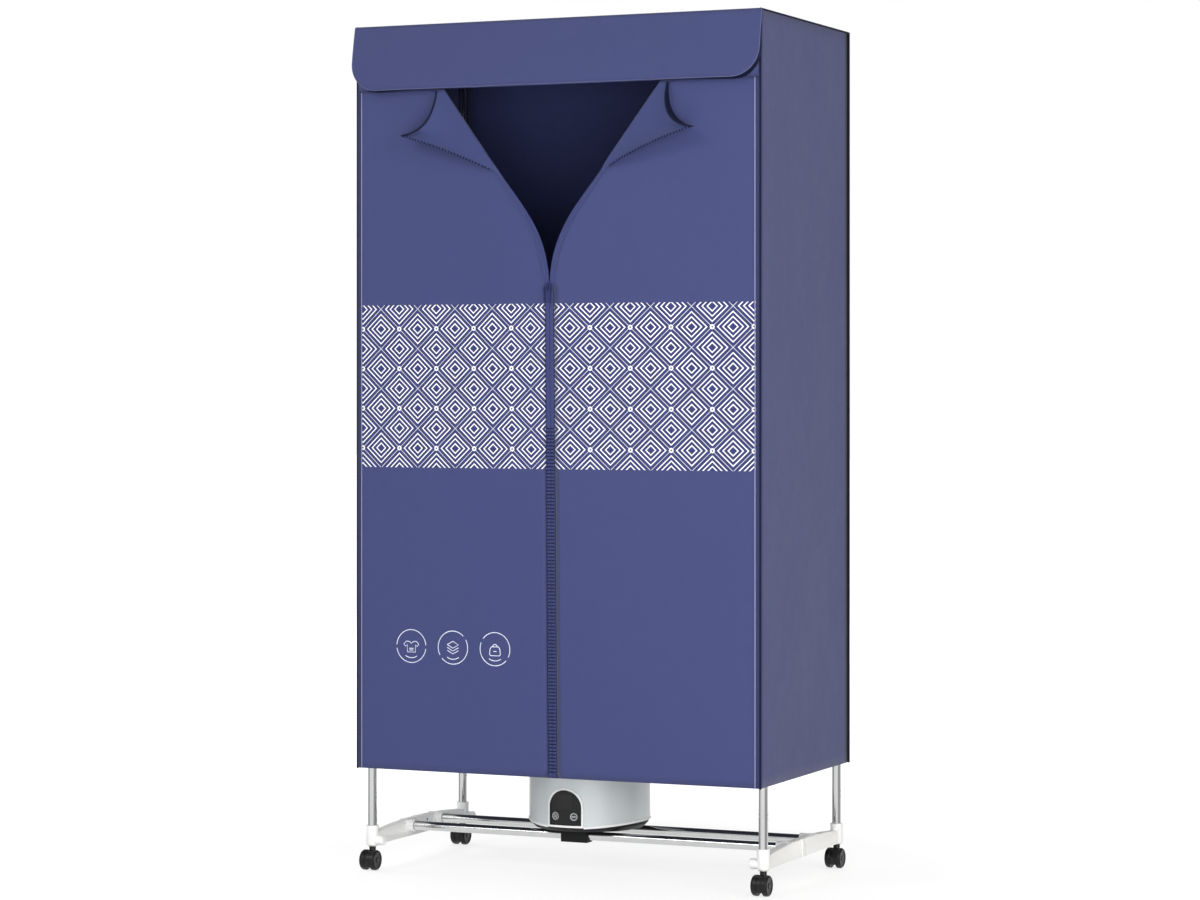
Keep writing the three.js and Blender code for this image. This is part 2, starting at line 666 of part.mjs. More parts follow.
function lapel() {
  const [upper, lower] = lapelEdge();
  const rows = [];
  const steps = 5;
  for (let i = 0; i <= 2 * steps; i += 1) {
    const share = i / (2 * steps);
    const fold = foldEnd.clone().lerp(foldStart, share);
    const rim = share <= 0.5 ? upper.getPoint(2 * share) : lower.getPoint(2 * share - 1);
    rows.push(lapelRow(fold, rim, Math.sin(Math.PI * share)));
  }
  return clothSolid(rows, LAPEL_CLOTH);
}

for (const [sideName, side] of [
  ["left", LEFT],
  ["right", RIGHT],
]) {
  add("front_" + sideName + "_panel", join(panelCloth(), lapel()), clothBlue, cabinet, side);
  add("zip_chain_" + sideName, zipChain(), chainBlue, cabinet, side);
}

// The slider rides down the leaning zip, with its web in the gap between the chains.
const zipLean = Math.atan2(LEAN_SLIDER - LEAN_HEM, SLIDER_Z - COVER_HEM);
const slider = new THREE.Group();
slider.position.set(0, frontPoint(0, SLIDER_Z).y, SLIDER_Z);
slider.rotation.x = zipLean;
cabinet.add(slider);
const plateNear = CHAIN_THICK / 2 + SLIDER_PLAY;
const plateFar = plateNear + SLIDER_PLATE;
const bailY = -plateFar - BAIL_HEIGHT / 2;

function sliderBody() {
  const half = SLIDER_WIDTH / 2;
  const low = -SLIDER_HEIGHT / 2;
  const high = SLIDER_HEIGHT / 2;
  const bailHalf = BAIL_WIDTH / 2;
  const plate = (y0, y1) => box(-half, half, y0, y1, low, high);
  const web = box(-SLIDER_WEB / 2, SLIDER_WEB / 2, -plateNear - 1, plateNear + 1, 0, high);
  const bail = box(-bailHalf, bailHalf, -plateFar - BAIL_HEIGHT, 1 - plateFar, 0, BAIL_HEIGHT);
  const eye = bar("x", PULL_BAR + SEAM, -BAIL_WIDTH, BAIL_WIDTH, [0, bailY, BAIL_HEIGHT / 2]);
  return cut(join(plate(-plateFar, -plateNear), plate(plateNear, plateFar), web, bail), eye);
}

function pull() {
  const half = PULL_WIDTH / 2;
  const sheet = (x0, x1, z0, z1) => box(x0, x1, -PULL_THICK / 2, PULL_THICK / 2, z0, z1);
  return join(
    bar("x", PULL_BAR, 1 - half, half - 1),
    sheet(-half, PULL_ARM - half, -PULL_WINDOW, PULL_BAR),
    sheet(half - PULL_ARM, half, -PULL_WINDOW, PULL_BAR),
    sheet(-half, half, -PULL_LENGTH, -PULL_WINDOW),
  );
}
add("zip_slider", sliderBody(), bareMetal, slider);
const pullHinge = new THREE.Group();
pullHinge.position.set(0, bailY, BAIL_HEIGHT / 2);
pullHinge.rotation.x = -zipLean;
slider.add(pullHinge);
add("zip_pull", pull(), bareMetal, pullHinge);

// ---------------------------------------------------------------- heater pod
const pod = new THREE.Group();
pod.position.x = POD_X;
cabinet.add(pod);
const POD_SIDES = 2 * ROUND;

function archOutline(halfWidth, bottom, top) {
  const outline = new THREE.Shape();
  outline.moveTo(-halfWidth, bottom);
  outline.lineTo(halfWidth, bottom);
  outline.absarc(0, top - halfWidth, halfWidth, 0, Math.PI);
  return outline;
}

const bezelHalf = BEZEL_WIDTH / 2;
const bezelTop = BEZEL_BOTTOM + BEZEL_HEIGHT;
const windowArch = (grow) =>
  archOutline(bezelHalf - BEZEL_RIM + grow, BEZEL_BOTTOM + BEZEL_RIM - grow, bezelTop - BEZEL_RIM + grow);
const frontBlock = (outline) => prism(outline, "xz", -POD_RADIUS - 20, -POD_RADIUS / 2);
const podBand = (outer, inner) =>
  tube("z", outer, inner, BEZEL_BOTTOM - 10, bezelTop + 10, [0, 0, 0], POD_SIDES);

function podShell() {
  const ledge = POD_TOP - GRILLE_THICK - SEAM;
  const shoulder = POD_TOP - POD_SHOULDER;
  const rounding = [30, 60].map((degrees) => {
    const angle = THREE.MathUtils.degToRad(degrees);
    const inset = POD_SHOULDER * (1 - Math.cos(angle));
    return [POD_RADIUS - inset, shoulder + POD_SHOULDER * Math.sin(angle)];
  });
  const shell = turned(
    [
      [POD_INNER, POD_EDGE],
      [POD_RADIUS, POD_EDGE],
      [POD_RADIUS, shoulder],
      ...rounding,
      [POD_RADIUS - POD_SHOULDER, POD_TOP],
      [OUTLET_RADIUS, POD_TOP],
      [OUTLET_RADIUS, ledge],
      [OUTLET_RADIUS - OUTLET_LEDGE, ledge],
      [OUTLET_RADIUS - OUTLET_LEDGE, ledge - POD_WALL],
      [POD_INNER - POD_SHOULDER, ledge - POD_WALL],
      [POD_INNER, shoulder - POD_WALL],
      [POD_INNER, POD_EDGE],
    ],
    "z",
    POD_SIDES,
  );
  const arch = new THREE.Shape();
  const reach = POD_RADIUS + 1;
  const steps = 12;
  arch.moveTo(-reach, POD_EDGE - 5);
  arch.lineTo(reach, POD_EDGE - 5);
  for (let i = 0; i <= steps; i += 1) {
    const y = reach - (2 * reach * i) / steps;
    arch.lineTo(y, POD_EDGE + POD_ARCH * (1 - (y / reach) ** 2));
  }
  return cut(
    shell,
    prism(arch, "yz", -reach, reach),
    frontBlock(archOutline(bezelHalf + SEAM, POD_EDGE - 5, bezelTop + SEAM)),
    bar("y", GLAND_RADIUS + SEAM, POD_INNER / 2, POD_RADIUS + 5, [0, 0, GLAND_Z]),
  );
}

function podPan() {
  const inner = PAN_RADIUS - POD_WALL;
  const floor = PAN_BOTTOM + POD_WALL;
  const pan = turned(
    [
      [0, PAN_BOTTOM],
      [PAN_RADIUS - PAN_BEVEL, PAN_BOTTOM],
      [PAN_RADIUS, PAN_BOTTOM + PAN_BEVEL],
      [PAN_RADIUS, PAN_TOP],
      [inner, PAN_TOP],
      [inner, floor + PAN_BEVEL],
      [inner - PAN_BEVEL, floor],
      [0, floor],
    ],
    "z",
    POD_SIDES,
  );
  const half = CLIP_WIDTH / 2;
  const deep = BORE_RADIUS + CLIP_WALL;
  const saddle = box(-half, half, ROD_Y - deep, ROD_Y + deep, ROD_Z, PAN_BOTTOM + 1);
  return cut(
    join(pan, saddle),
    bar("x", BORE_RADIUS, -half - 1, half + 1, [0, ROD_Y, ROD_Z]),
    box(-bezelHalf - 2, bezelHalf + 2, -POD_RADIUS, -PAN_RADIUS * 0.8, BEZEL_BOTTOM, PAN_TOP + 1),
    bar("y", GLAND_RADIUS + SEAM, inner / 2, POD_RADIUS + 5, [0, 0, GLAND_Z]),
  );
}

function outletGrille() {
  const top = POD_TOP;
  const bottom = top - GRILLE_THICK;
  const outer = OUTLET_RADIUS - SEAM;
  const pitch = outer / GRILLE_RINGS;
  const bars = [bar("z", pitch / 2, bottom, top)];
  for (let i = 1; i <= GRILLE_RINGS; i += 1) {
    bars.push(tube("z", pitch * i, pitch * i - GRILLE_BAR, bottom, top, [0, 0, 0], POD_SIDES));
  }
  for (let i = 0; i < GRILLE_SPOKES / 2; i += 1) {
    const spoke = boxGeometry(2 - outer, outer - 2, -GRILLE_BAR / 2, GRILLE_BAR / 2, bottom, top);
    bars.push(toSolid(spoke.rotateZ((2 * Math.PI * i) / GRILLE_SPOKES)));
  }
  return join(...bars);
}

function bezel() {
  const frame = cut(
    frontBlock(archOutline(bezelHalf, BEZEL_BOTTOM, bezelTop)),
    frontBlock(windowArch(SEAM)),
  );
  return common(frame, podBand(POD_RADIUS + BEZEL_PROUD, POD_INNER));
}

const boardRear = POD_RADIUS - BOARD_INSET;

// Keys and their holes point at the pod's axis.
const keyTurn = Math.asin(KEY_SPREAD / POD_RADIUS);
const keyBar = (radius, from, to, side) =>
  toSolid(
    new THREE.CylinderGeometry(radius, radius, to - from, ROUND)
      .translate(0, -(from + to) / 2, KEY_Z)
      .rotateZ(side * keyTurn),
  );

function controlWindow() {
  const pane = common(
    frontBlock(windowArch(0)),
    podBand(POD_RADIUS + WINDOW_PROUD, POD_INNER + SEAM),
  );
  const boardFace = -boardRear - BOARD_THICK - SEAM;
  const posts = [-1, 1].map((side) =>
    bar("y", POST_RADIUS, 1 - POD_INNER, boardFace, [side * KEY_SPREAD, 0, POST_Z], 12),
  );
  const holes = [-1, 1].map((side) => keyBar(KEY_RADIUS + SEAM, POD_INNER - 20, POD_RADIUS + 20, side));
  return cut(join(pane, ...posts), ...holes);
}

function key(side) {
  const face = POD_RADIUS + KEY_PROUD;
  return keyBar(KEY_RADIUS, face - KEY_LENGTH, face, side);
}

function controlBoard() {
  const half = BOARD_WIDTH / 2;
  const low = BEZEL_BOTTOM + BEZEL_RIM;
  return box(-half, half, -boardRear - BOARD_THICK, -boardRear, low, low + BOARD_HEIGHT);
}

function rodClip() {
  const half = CLIP_WIDTH / 2;
  const deep = BORE_RADIUS + CLIP_WALL;
  const block = box(-half, half, -ROD_Y - deep, -ROD_Y + deep, ROD_Z - deep, PAN_BOTTOM - SEAM);
  return cut(block, bar("x", BORE_RADIUS, -half - 1, half + 1, [0, -ROD_Y, ROD_Z]));
}

function fanMotor() {
  const floor = PAN_BOTTOM + POD_WALL + SEAM;
  const body = bar("z", MOTOR_RADIUS, floor, MOTOR_TOP);
  return cut(body, bar("z", SHAFT_RADIUS + SEAM, MOTOR_TOP - SHAFT_LENGTH, MOTOR_TOP + 1));
}

function fanImpeller() {
  const low = MOTOR_TOP + HUB_LIFT;
  const middle = low + HUB_HEIGHT / 2;
  const hub = bar("z", HUB_RADIUS, low, low + HUB_HEIGHT);
  const shaft = bar("z", SHAFT_RADIUS, MOTOR_TOP - SHAFT_LENGTH + SEAM, low + 1);
  const length = BLADE_TIP - HUB_RADIUS + BLADE_THICK;
  const pitch = THREE.MathUtils.degToRad(BLADE_PITCH);
  const blades = Array.from({ length: BLADES }, (_, i) => {
    const blade = new THREE.BoxGeometry(length, BLADE_CHORD, BLADE_THICK);
    blade.rotateX(pitch).translate(BLADE_TIP - length / 2, 0, middle);
    return toSolid(blade.rotateZ((2 * Math.PI * i) / BLADES));
  });
  return join(hub, shaft, ...blades);
}

function heater() {
  const outer = POD_INNER - SEAM;
  const ringTop = HEATER_Z + HEATER_RING_THICK;
  const ring = tube("z", outer, outer - HEATER_RING, HEATER_Z, ringTop, [0, 0, 0], POD_SIDES);
  const half = HEATER_WIDTH / 2;
  const deep = HEATER_DEPTH / 2;
  const top = HEATER_Z + HEATER_HEIGHT;
  const block = box(-half, half, -deep, deep, HEATER_Z, top);
  const reach = outer - HEATER_RING / 2;
  const arm = box(-reach, reach, -HEATER_ARM / 2, HEATER_ARM / 2, HEATER_Z, ringTop);
  const pitch = HEATER_WIDTH / HEATER_SLOTS;
  const slots = Array.from({ length: HEATER_SLOTS }, (_, i) => {
    const x = -half + pitch * (i + 0.5);
    const slot = HEATER_SLOT / 2;
    return box(x - slot, x + slot, HEATER_END - deep, deep - HEATER_END, HEATER_Z - 1, top + 1);
  });
  return cut(join(ring, block, arm), ...slots);
}

function cableGland() {
  const inside = PAN_RADIUS - POD_WALL - GLAND_INSIDE;
  const face = POD_RADIUS + SEAM;
  const body = bar("y", GLAND_RADIUS, inside, inside + GLAND_LENGTH, [0, 0, GLAND_Z]);
  const flange = bar("y", GLAND_FLANGE, face, face + GLAND_FLANGE_THICK, [0, 0, GLAND_Z]);
  return cut(
    join(body, flange),
    bar("y", GLAND_BORE, inside - 1, inside + GLAND_LENGTH + 1, [0, 0, GLAND_Z], 12),
  );
}

add("pod_shell", podShell(), silverShell, pod);
add("pod_base", podPan(), blackPlastic, pod);
add("outlet_grille", outletGrille(), blackPlastic, pod);
add("control_bezel", bezel(), whitePlastic, pod);
add("control_window", controlWindow(), windowBlack, pod);
add("key_mode", key(-1), keyGrey, pod);
add("key_power", key(1), keyGrey, pod);
add("control_board", controlBoard(), boardGreen, pod);
add("fan_motor", fanMotor(), bareMetal, pod);
add("fan_impeller", fanImpeller(), blackPlastic, pod);
add("heater", heater(), bareMetal, pod);
add("rod_clip", rodClip(), blackPlastic, pod);
add("cable_gland", cableGland(), blackPlastic, pod);

export default cabinet;
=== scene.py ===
"""Fabric drying cabinet on its tube frame and castors, dressed for a studio picture."""
import json
import math

import bmesh
import bpy
from mathutils import Matrix, Vector, noise


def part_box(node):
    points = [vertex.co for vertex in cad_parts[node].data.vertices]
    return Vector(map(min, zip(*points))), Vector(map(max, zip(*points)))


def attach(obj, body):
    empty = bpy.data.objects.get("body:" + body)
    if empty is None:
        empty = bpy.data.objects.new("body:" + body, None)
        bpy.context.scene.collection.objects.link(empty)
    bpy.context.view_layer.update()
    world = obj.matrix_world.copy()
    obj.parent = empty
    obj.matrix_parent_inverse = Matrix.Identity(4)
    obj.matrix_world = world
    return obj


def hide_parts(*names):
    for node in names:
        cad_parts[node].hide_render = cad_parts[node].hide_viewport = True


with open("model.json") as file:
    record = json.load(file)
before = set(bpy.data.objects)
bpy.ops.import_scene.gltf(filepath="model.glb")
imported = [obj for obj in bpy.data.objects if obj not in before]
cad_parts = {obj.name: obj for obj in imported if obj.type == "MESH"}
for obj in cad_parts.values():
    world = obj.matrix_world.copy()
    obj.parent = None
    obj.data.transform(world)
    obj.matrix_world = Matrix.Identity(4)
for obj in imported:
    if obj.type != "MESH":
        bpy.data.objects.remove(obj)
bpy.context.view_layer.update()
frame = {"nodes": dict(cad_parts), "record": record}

# ---------------------------------------------------------------- studio
# A white sweep under a grey sky, lit by five soft square lamps. What bright metal mirrors of the sky
# and the floor is darker on some sides, as with flags on a product table. The floor takes a shadow.


def grey(level):
    return (level, level, level, 1)


class Wire:
    """What a node gives out. Sums and products of wires add the nodes that work them out."""

    def __init__(self, finish, socket):
        self.finish = finish
        self.socket = socket

    def __add__(self, other):
        return self.finish.math("ADD", self, other)

    def __sub__(self, other):
        return self.finish.math("SUBTRACT", self, other)

    def __rsub__(self, other):
        return self.finish.math("SUBTRACT", other, self)

    def __mul__(self, other):
        return self.finish.math("MULTIPLY", self, other)

    def __truediv__(self, other):
        return self.finish.math("DIVIDE", self, other)

    def __abs__(self):
        return self.finish.math("ABSOLUTE", self)

    def __lt__(self, other):
        return self.finish.math("LESS_THAN", self, other)

    def __gt__(self, other):
        return self.finish.math("GREATER_THAN", self, other)

    __radd__ = __add__
    __rmul__ = __mul__


class Finish:
    """The nodes of one material, or of the world."""

    def __init__(self, owner):
        owner.use_nodes = True
        self.owner = owner
        self.tree = owner.node_tree
        self.tree.nodes.clear()

    def node(self, kind, settings=None, inputs=None, output=0):
        made = self.tree.nodes.new("ShaderNode" + kind)
        for key, value in (settings or {}).items():
            if key == "stops":
                stops = made.color_ramp.elements
                while len(stops) < len(value):
                    stops.new(1.0)
                for stop, (place, level) in zip(stops, value):
                    stop.position = place
                    stop.color = grey(level)
            else:
                setattr(made, key, value)
        for key, value in (inputs or {}).items():
            if isinstance(value, Wire):
                self.tree.links.new(value.socket, made.inputs[key])
            else:
                made.inputs[key].default_value = value
        return Wire(self, made.outputs[output]) if made.outputs else None

    def math(self, operation, *values):
        return self.node("Math", {"operation": operation}, dict(enumerate(values)))

    def mix(self, share, first, second):
        return self.node("Mix", {"data_type": "RGBA"}, {0: share, 6: first, 7: second}, output=2)

    def place(self):
        return self.node("TexCoord", output="Object")

    def axes(self, vector):
        split = self.node("SeparateXYZ", inputs={0: vector}).socket.node
        return [Wire(self, socket) for socket in split.outputs]

    def noise(self, scale, detail=2.0, roughness=0.5, stretch=None):
        vector = self.place()
        if stretch:
            vector = self.node("Mapping", inputs={"Vector": vector, "Scale": stretch})
        values = {"Vector": vector, "Scale": scale, "Detail": detail, "Roughness": roughness}
        return self.node("TexNoise", inputs=values)

    def reach(self, across, up):
        """How far a point at across and up is from the middle."""
        return self.math("SQRT", across * across + up * up)

    def limited(self, value):
        """The value, but no less than 0 and no more than 1."""
        return self.math("MINIMUM", self.math("MAXIMUM", value, 0.0), 1.0)

    def between(self, value, low, high):
        """0 to 1 turned into low to high."""
        return value * (high - low) + low

    def surface(self, base, roughness, height, depth, **plain):
        values = {"Base Color": base, "Roughness": roughness}
        values.update({key.replace("_", " "): value for key, value in plain.items()})
        bump = {"Height": height, "Distance": depth, "Strength": 1.0}
        values["Normal"] = self.node("Bump", inputs=bump)
        self.node("OutputMaterial", inputs={0: self.node("BsdfPrincipled", inputs=values)})
        return self.owner


def seen_by(finish, *kinds):
    """1 for rays of these kinds, 0 for all others."""
    rays = finish.node("LightPath").socket.node.outputs
    shown = sum(Wire(finish, rays[f"Is {kind} Ray"]) for kind in kinds)
    return finish.math("MINIMUM", shown, 1.0)


SHOWN_RAYS = ("Camera", "Glossy", "Transmission")
SKY_LEVEL = 0.42
SKY_MIRRORED = [(0.0, 0.2), (0.03, 0.25), (0.08, 0.88), (0.3, 0.8), (0.42, 0.85)]
SKY_MIRRORED += [(0.5, 0.5), (0.55, 0.22), (1.0, 0.2)]

sky = Finish(bpy.context.scene.world or bpy.data.worlds.new("studio"))
bpy.context.scene.world = sky.owner
around = sky.axes(sky.node("TexCoord", output=0))
turn = sky.math("ARCTAN2", around[1], around[0]) / (2 * math.pi) + 0.5
mirrored_sky = sky.node("ValToRGB", {"stops": SKY_MIRRORED}, {0: turn})
shown_sky = sky.mix(seen_by(sky, "Glossy"), grey(1), mirrored_sky)
backdrop = sky.mix(seen_by(sky, *SHOWN_RAYS), grey(SKY_LEVEL), shown_sky)
sky.node("OutputWorld", inputs={0: sky.node("Background", inputs={0: backdrop, 1: 1.0})})

FLOOR_WHITE = 0.88
SHADOW_SHARE = 0.36
GLOW_NEAR, GLOW_FAR = 0.74, 1.02
NEAR_REACH = 0.6
FLOOR_MIRRORED = [(0.0, 0.76), (0.76, 0.70), (0.83, 0.14)]

floor_shape = bmesh.new()
bmesh.ops.create_grid(floor_shape, x_segments=1, y_segments=1, size=30)
floor_mesh = bpy.data.meshes.new("studio_floor")
floor_shape.to_mesh(floor_mesh)
floor_shape.free()
studio_floor = bpy.data.objects.new("studio_floor", floor_mesh)
bpy.context.scene.collection.objects.link(studio_floor)
sweep = Finish(bpy.data.materials.new("white_sweep"))
matte = sweep.node("BsdfDiffuse", inputs={0: grey(FLOOR_WHITE)})
shaded = sweep.node("BsdfDiffuse", inputs={0: grey(SHADOW_SHARE)})
heading = abs(sweep.axes(sweep.node("NewGeometry", output="Incoming"))[0])
mirrored_floor = sweep.node("ValToRGB", {"stops": FLOOR_MIRRORED}, {0: heading})
floor_x, floor_y, _ = sweep.axes(sweep.place())
away = sweep.limited(sweep.reach(floor_x, floor_y) - NEAR_REACH)
tone = sweep.mix(seen_by(sweep, "Glossy"), sweep.between(away, GLOW_NEAR, GLOW_FAR), mirrored_floor)
glow = sweep.node("Emission", inputs={0: tone, 1: 1.0})
shown_floor = sweep.node("AddShader", inputs={0: shaded, 1: glow})
seen = sweep.node("MixShader", inputs={0: seen_by(sweep, *SHOWN_RAYS), 1: matte, 2: shown_floor})
sweep.node("OutputMaterial", inputs={0: seen})
floor_mesh.materials.append(sweep.owner)


def lamp(name, at, size, power, tint=(1, 1, 1), aim=0.75, mirrored=True):
    data = bpy.data.lights.new(name, "AREA")
    data.shape = "SQUARE"
    data.size = size
    data.energy = power
    data.color = tint
    made = bpy.data.objects.new(name, data)
    made.location = at
    made.rotation_euler = (Vector((0, 0, aim)) - Vector(at)).to_track_quat("-Z", "Y").to_euler()
    made.visible_glossy = mirrored
    bpy.context.scene.collection.objects.link(made)


lamp("key_lamp", (-3.2, -7.2, 5.6), 2.4, 140)
lamp("fill_lamp", (5.2, -2.8, 2.2), 2.4, 118, (1.0, 0.96, 0.87))
lamp("left_lamp", (-5.6, 0.6, 2.2), 2.4, 80, mirrored=False)
lamp("back_lamp", (-2.0, 6.0, 2.4), 2.4, 130, mirrored=False)
lamp("low_lamp", (1.5, -3.4, 0.4), 2.0, 80, aim=0.1, mirrored=False)

PICTURE_WIDTH, PICTURE_HEIGHT = 1200, 900
FOCUS_PIXELS = 3330.8
HORIZON_PIXELS = 382.2
eye_data = bpy.data.cameras.new("eye")
eye_data.sensor_width = 36
eye_data.lens = FOCUS_PIXELS / PICTURE_WIDTH * eye_data.sensor_width
eye_data.shift_y = (HORIZON_PIXELS - PICTURE_HEIGHT / 2) / PICTURE_WIDTH
eye = bpy.data.objects.new("eye", eye_data)
eye.location = (2.4212, -5.4292, 0.8701)
eye.rotation_euler = (math.pi / 2, 0, math.radians(24.044))
bpy.context.scene.collection.objects.link(eye)
bpy.context.scene.camera = eye
bpy.context.scene.view_settings.view_transform = "Standard"

# ---------------------------------------------------------------- bright tubes
# Thin-walled steel tube, bright chrome plated: two base rods, four uprights, two hanging rods and
# two top rails. The uprights carry two pressed buttons each side, just above the base brackets.
TUBE_EDGE = 0.0006
TUBE_STEPS = 48
BUTTON = 0.0016
BUTTON_PROUD = 0.6
BUTTON_HEIGHTS = (0.129, 0.137)
TUBES = ["front_base_rod", "rear_base_rod"]
TUBES += [f"upright_{end}_{side}" for end in ("front", "rear") for side in ("left", "right")]
TUBES += ["hanging_rod_front", "hanging_rod_rear", "top_rail_front", "top_rail_rear"]

carrier = {
    node: body for body, nodes in frame["record"]["behaviour"]["bodies"].items() for node in nodes
}


def colour(red, green, blue):
    """An eight-bit display colour as the renderer's own."""
    shares = [value / 255 for value in (red, green, blue)]
    linear = [s / 12.92 if s <= 0.04045 else ((s + 0.055) / 1.055) ** 2.4 for s in shares]
    return (*linear, 1.0)


def speckled(name, dark, light, mottle, wear, rough, grain, depth=0.00001, **plain):
    """A finish mottled from dark to light, worn between two roughnesses, with a fine grain.

    mottle, wear and grain each give the scale and the detail of a noise.
    """
    finish = Finish(bpy.data.materials.new(name))
    base = finish.mix(finish.noise(*mottle), colour(*dark), colour(*light))
    roughness = finish.between(finish.noise(*wear), *rough)
    return finish.surface(base, roughness, finish.noise(*grain), depth, **plain)


def turned(profile, steps):
    """A round body about Z from (radius, height) pairs."""
    shape = bmesh.new()
    verts = [shape.verts.new((radius, 0, height)) for radius, height in profile]
    edges = [shape.edges.new(pair) for pair in zip(verts, verts[1:])]
    bmesh.ops.spin(
        shape,
        geom=verts + edges,
        cent=(0, 0, 0),
        axis=(0, 0, 1),
        angle=2 * math.pi,
        steps=steps,
        use_merge=True,
    )
    bmesh.ops.remove_doubles(shape, verts=shape.verts, dist=1e-6)
    bmesh.ops.recalc_face_normals(shape, faces=shape.faces)
    return shape


def moved(shape, matrix):
    bmesh.ops.transform(shape, matrix=matrix, verts=shape.verts)
    return shape


def towards(way):
    """The turn that lays a shape's own Z along way."""
    return Vector(way).to_track_quat("Z", "Y").to_matrix().to_4x4()


def add_shape(shape, other):
    """Adds another shape's mesh to this one."""
    held = bpy.data.meshes.new("held")
    other.to_mesh(held)
    other.free()
    shape.from_mesh(held)
    bpy.data.meshes.remove(held)


def piece(name, shape, finish, body, stands_for=(), crease=32):
    """Makes an object of the shape, with its finish, its body and the CAD nodes that it stands for."""
    mesh = bpy.data.meshes.new(name)
    shape.to_mesh(mesh)
    shape.free()
    mesh.materials.append(finish)
    mesh.shade_smooth()
    mesh.set_sharp_from_angle(angle=math.radians(crease))
    made = bpy.data.objects.new(name, mesh)
    bpy.context.scene.collection.objects.link(made)
    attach(made, body)
    if stands_for:
        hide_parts(*stands_for)
    return made


def span(node):
    """A node's lowest corner, highest corner and middle."""
    low, high = (Vector(corner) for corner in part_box(node))
    return low, high, (low + high) / 2


DRAWN = (60, 3, 0.5, (1, 1, 0.15))
bright_chrome = speckled(
    "bright_chrome", (200, 201, 202), (216, 216, 216), DRAWN, DRAWN, (0.08, 0.16), (120, 1),
    0.000004, Metallic=1.0,
)


def bright_tube(node):
    low, high, middle = span(node)
    size = high - low
    axis = max(range(3), key=lambda i: size[i])
    radius = min(size) / 2
    length = size[axis]
    profile = [(0, 0), (radius - TUBE_EDGE, 0), (radius, TUBE_EDGE)]
    profile += [(radius, length - TUBE_EDGE), (radius - TUBE_EDGE, length), (0, length)]
    start = middle.copy()
    start[axis] = low[axis]
    way = Vector((0, 0, 0))
    way[axis] = 1
    shape = moved(turned(profile, TUBE_STEPS), Matrix.Translation(start) @ towards(way))
    for height in BUTTON_HEIGHTS if axis == 2 else ():
        for side in (-1, 1):
            at = Matrix.Translation((middle.x + side * radius, middle.y, height))
            made = bmesh.ops.create_uvsphere(
                shape, u_segments=16, v_segments=10, radius=BUTTON, matrix=at
            )
            for vert in made["verts"]:
                out = side * (vert.co.x - middle.x) - radius
                vert.co.x = middle.x + side * (radius + out * BUTTON_PROUD)
    piece(node + "_tube", shape, bright_chrome, carrier[node], [node])


for tube_node in TUBES:
    bright_tube(tube_node)

# ---------------------------------------------------------------- plastic brackets
# White moulded plastic with rounded edges. Each half of a side beam has a corner socket, a stub and a
# socket for a base rod; the same moulding, turned over, carries the rails and the hanging rods.
SIDES = (("left", -1), ("right", 1))
EDGE_ROUND = 0.0009
UPRIGHT_X = 0.374
BEAM_HALF = 0.007
SCREW_HEAD = 0.0023
SCREWS = ((-0.130, 0.055), (0.0, 0.066), (0.040, 0.066), (0.170, 0.055))


def round_edges(shape, edges, size, segments):
    bmesh.ops.bevel(
        shape,
        geom=edges,
        offset=size,
        offset_type="OFFSET",
        segments=segments,
        profile=0.5,
        affect="EDGES",
        clamp_overlap=True,
        material=-1,
    )


def moulded(node, finish, round_over):
    """A moulded piece has its CAD node's shape, with its edges rounded."""
    shape = bmesh.new()
    shape.from_mesh(frame["nodes"][node].data)
    bmesh.ops.remove_doubles(shape, verts=shape.verts, dist=2e-6)
    level = math.radians(0.5)
    bmesh.ops.dissolve_limit(shape, angle_limit=level, verts=shape.verts, edges=shape.edges)
    sharp = [
        edge
        for edge in shape.edges
        if len(edge.link_faces) == 2 and edge.calc_face_angle() > math.radians(35)
    ]
    round_edges(shape, sharp, round_over, 2)
    piece(node + "_moulding", shape, finish, carrier[node], [node], crease=40)


white_moulding = speckled(
    "white_moulding", (240, 241, 242), (248, 248, 247), (35, 3), (220, 2), (0.34, 0.5), (1500, 2),
    0.00002,
)
for level in ("base", "top"):
    for end in ("front", "rear"):
        for side_name, side in SIDES:
            moulded(f"{level}_bracket_{end}_{side_name}", white_moulding, EDGE_ROUND)

plain_steel = speckled(
    "plain_steel", (120, 122, 125), (160, 162, 165), (300, 2), (700, 2), (0.25, 0.45), (2500, 2),
    Metallic=1.0,
)
head_profile = [(0, -0.0005), (SCREW_HEAD, -0.0005), (SCREW_HEAD, 0.0004), (SCREW_HEAD * 0.7, 0.0009)]
head_profile += [(SCREW_HEAD * 0.45, 0.001), (SCREW_HEAD * 0.35, 0.0003), (0, 0.0002)]
for side_name, side in SIDES:
    screws = bmesh.new()
    for along, height in SCREWS:
        at = Matrix.Translation((side * (UPRIGHT_X - BEAM_HALF), along, height))
        add_shape(screws, moved(turned(head_profile, 20), at @ towards((-side, 0, 0))))
    piece("beam_screws_" + side_name, screws, plain_steel, "cabinet")

# ---------------------------------------------------------------- castors
# Black nylon twin-wheel castors: two rounded wheels with dished faces on a steel axle, under a hood
# whose stem turns in the bracket's foot.
# The wheel's outer edge, as how far in from the tread and how far back from the outer face.
TREAD_EDGE = [(0, 0.0036), (0.0006, 0.0018), (0.0018, 0.0005)]
TREAD_EDGE += [(0.0034, 0), (0.0052, 0.0003), (0.0060, 0.0011)]
# The hub, as how far out from the axle and how far back from the outer face.
HUB = [(0.0052, 0.0014), (0.0046, 0.0006), (0.0036, 0.0003), (0, 0.0003)]

SCUFF = (140, 4, 0.6)
castor_nylon = speckled(
    "castor_nylon", (12, 13, 14), (26, 27, 28), SCUFF, SCUFF, (0.22, 0.42), (1800, 2), 0.00002,
    Specular_IOR_Level=0.28,
)


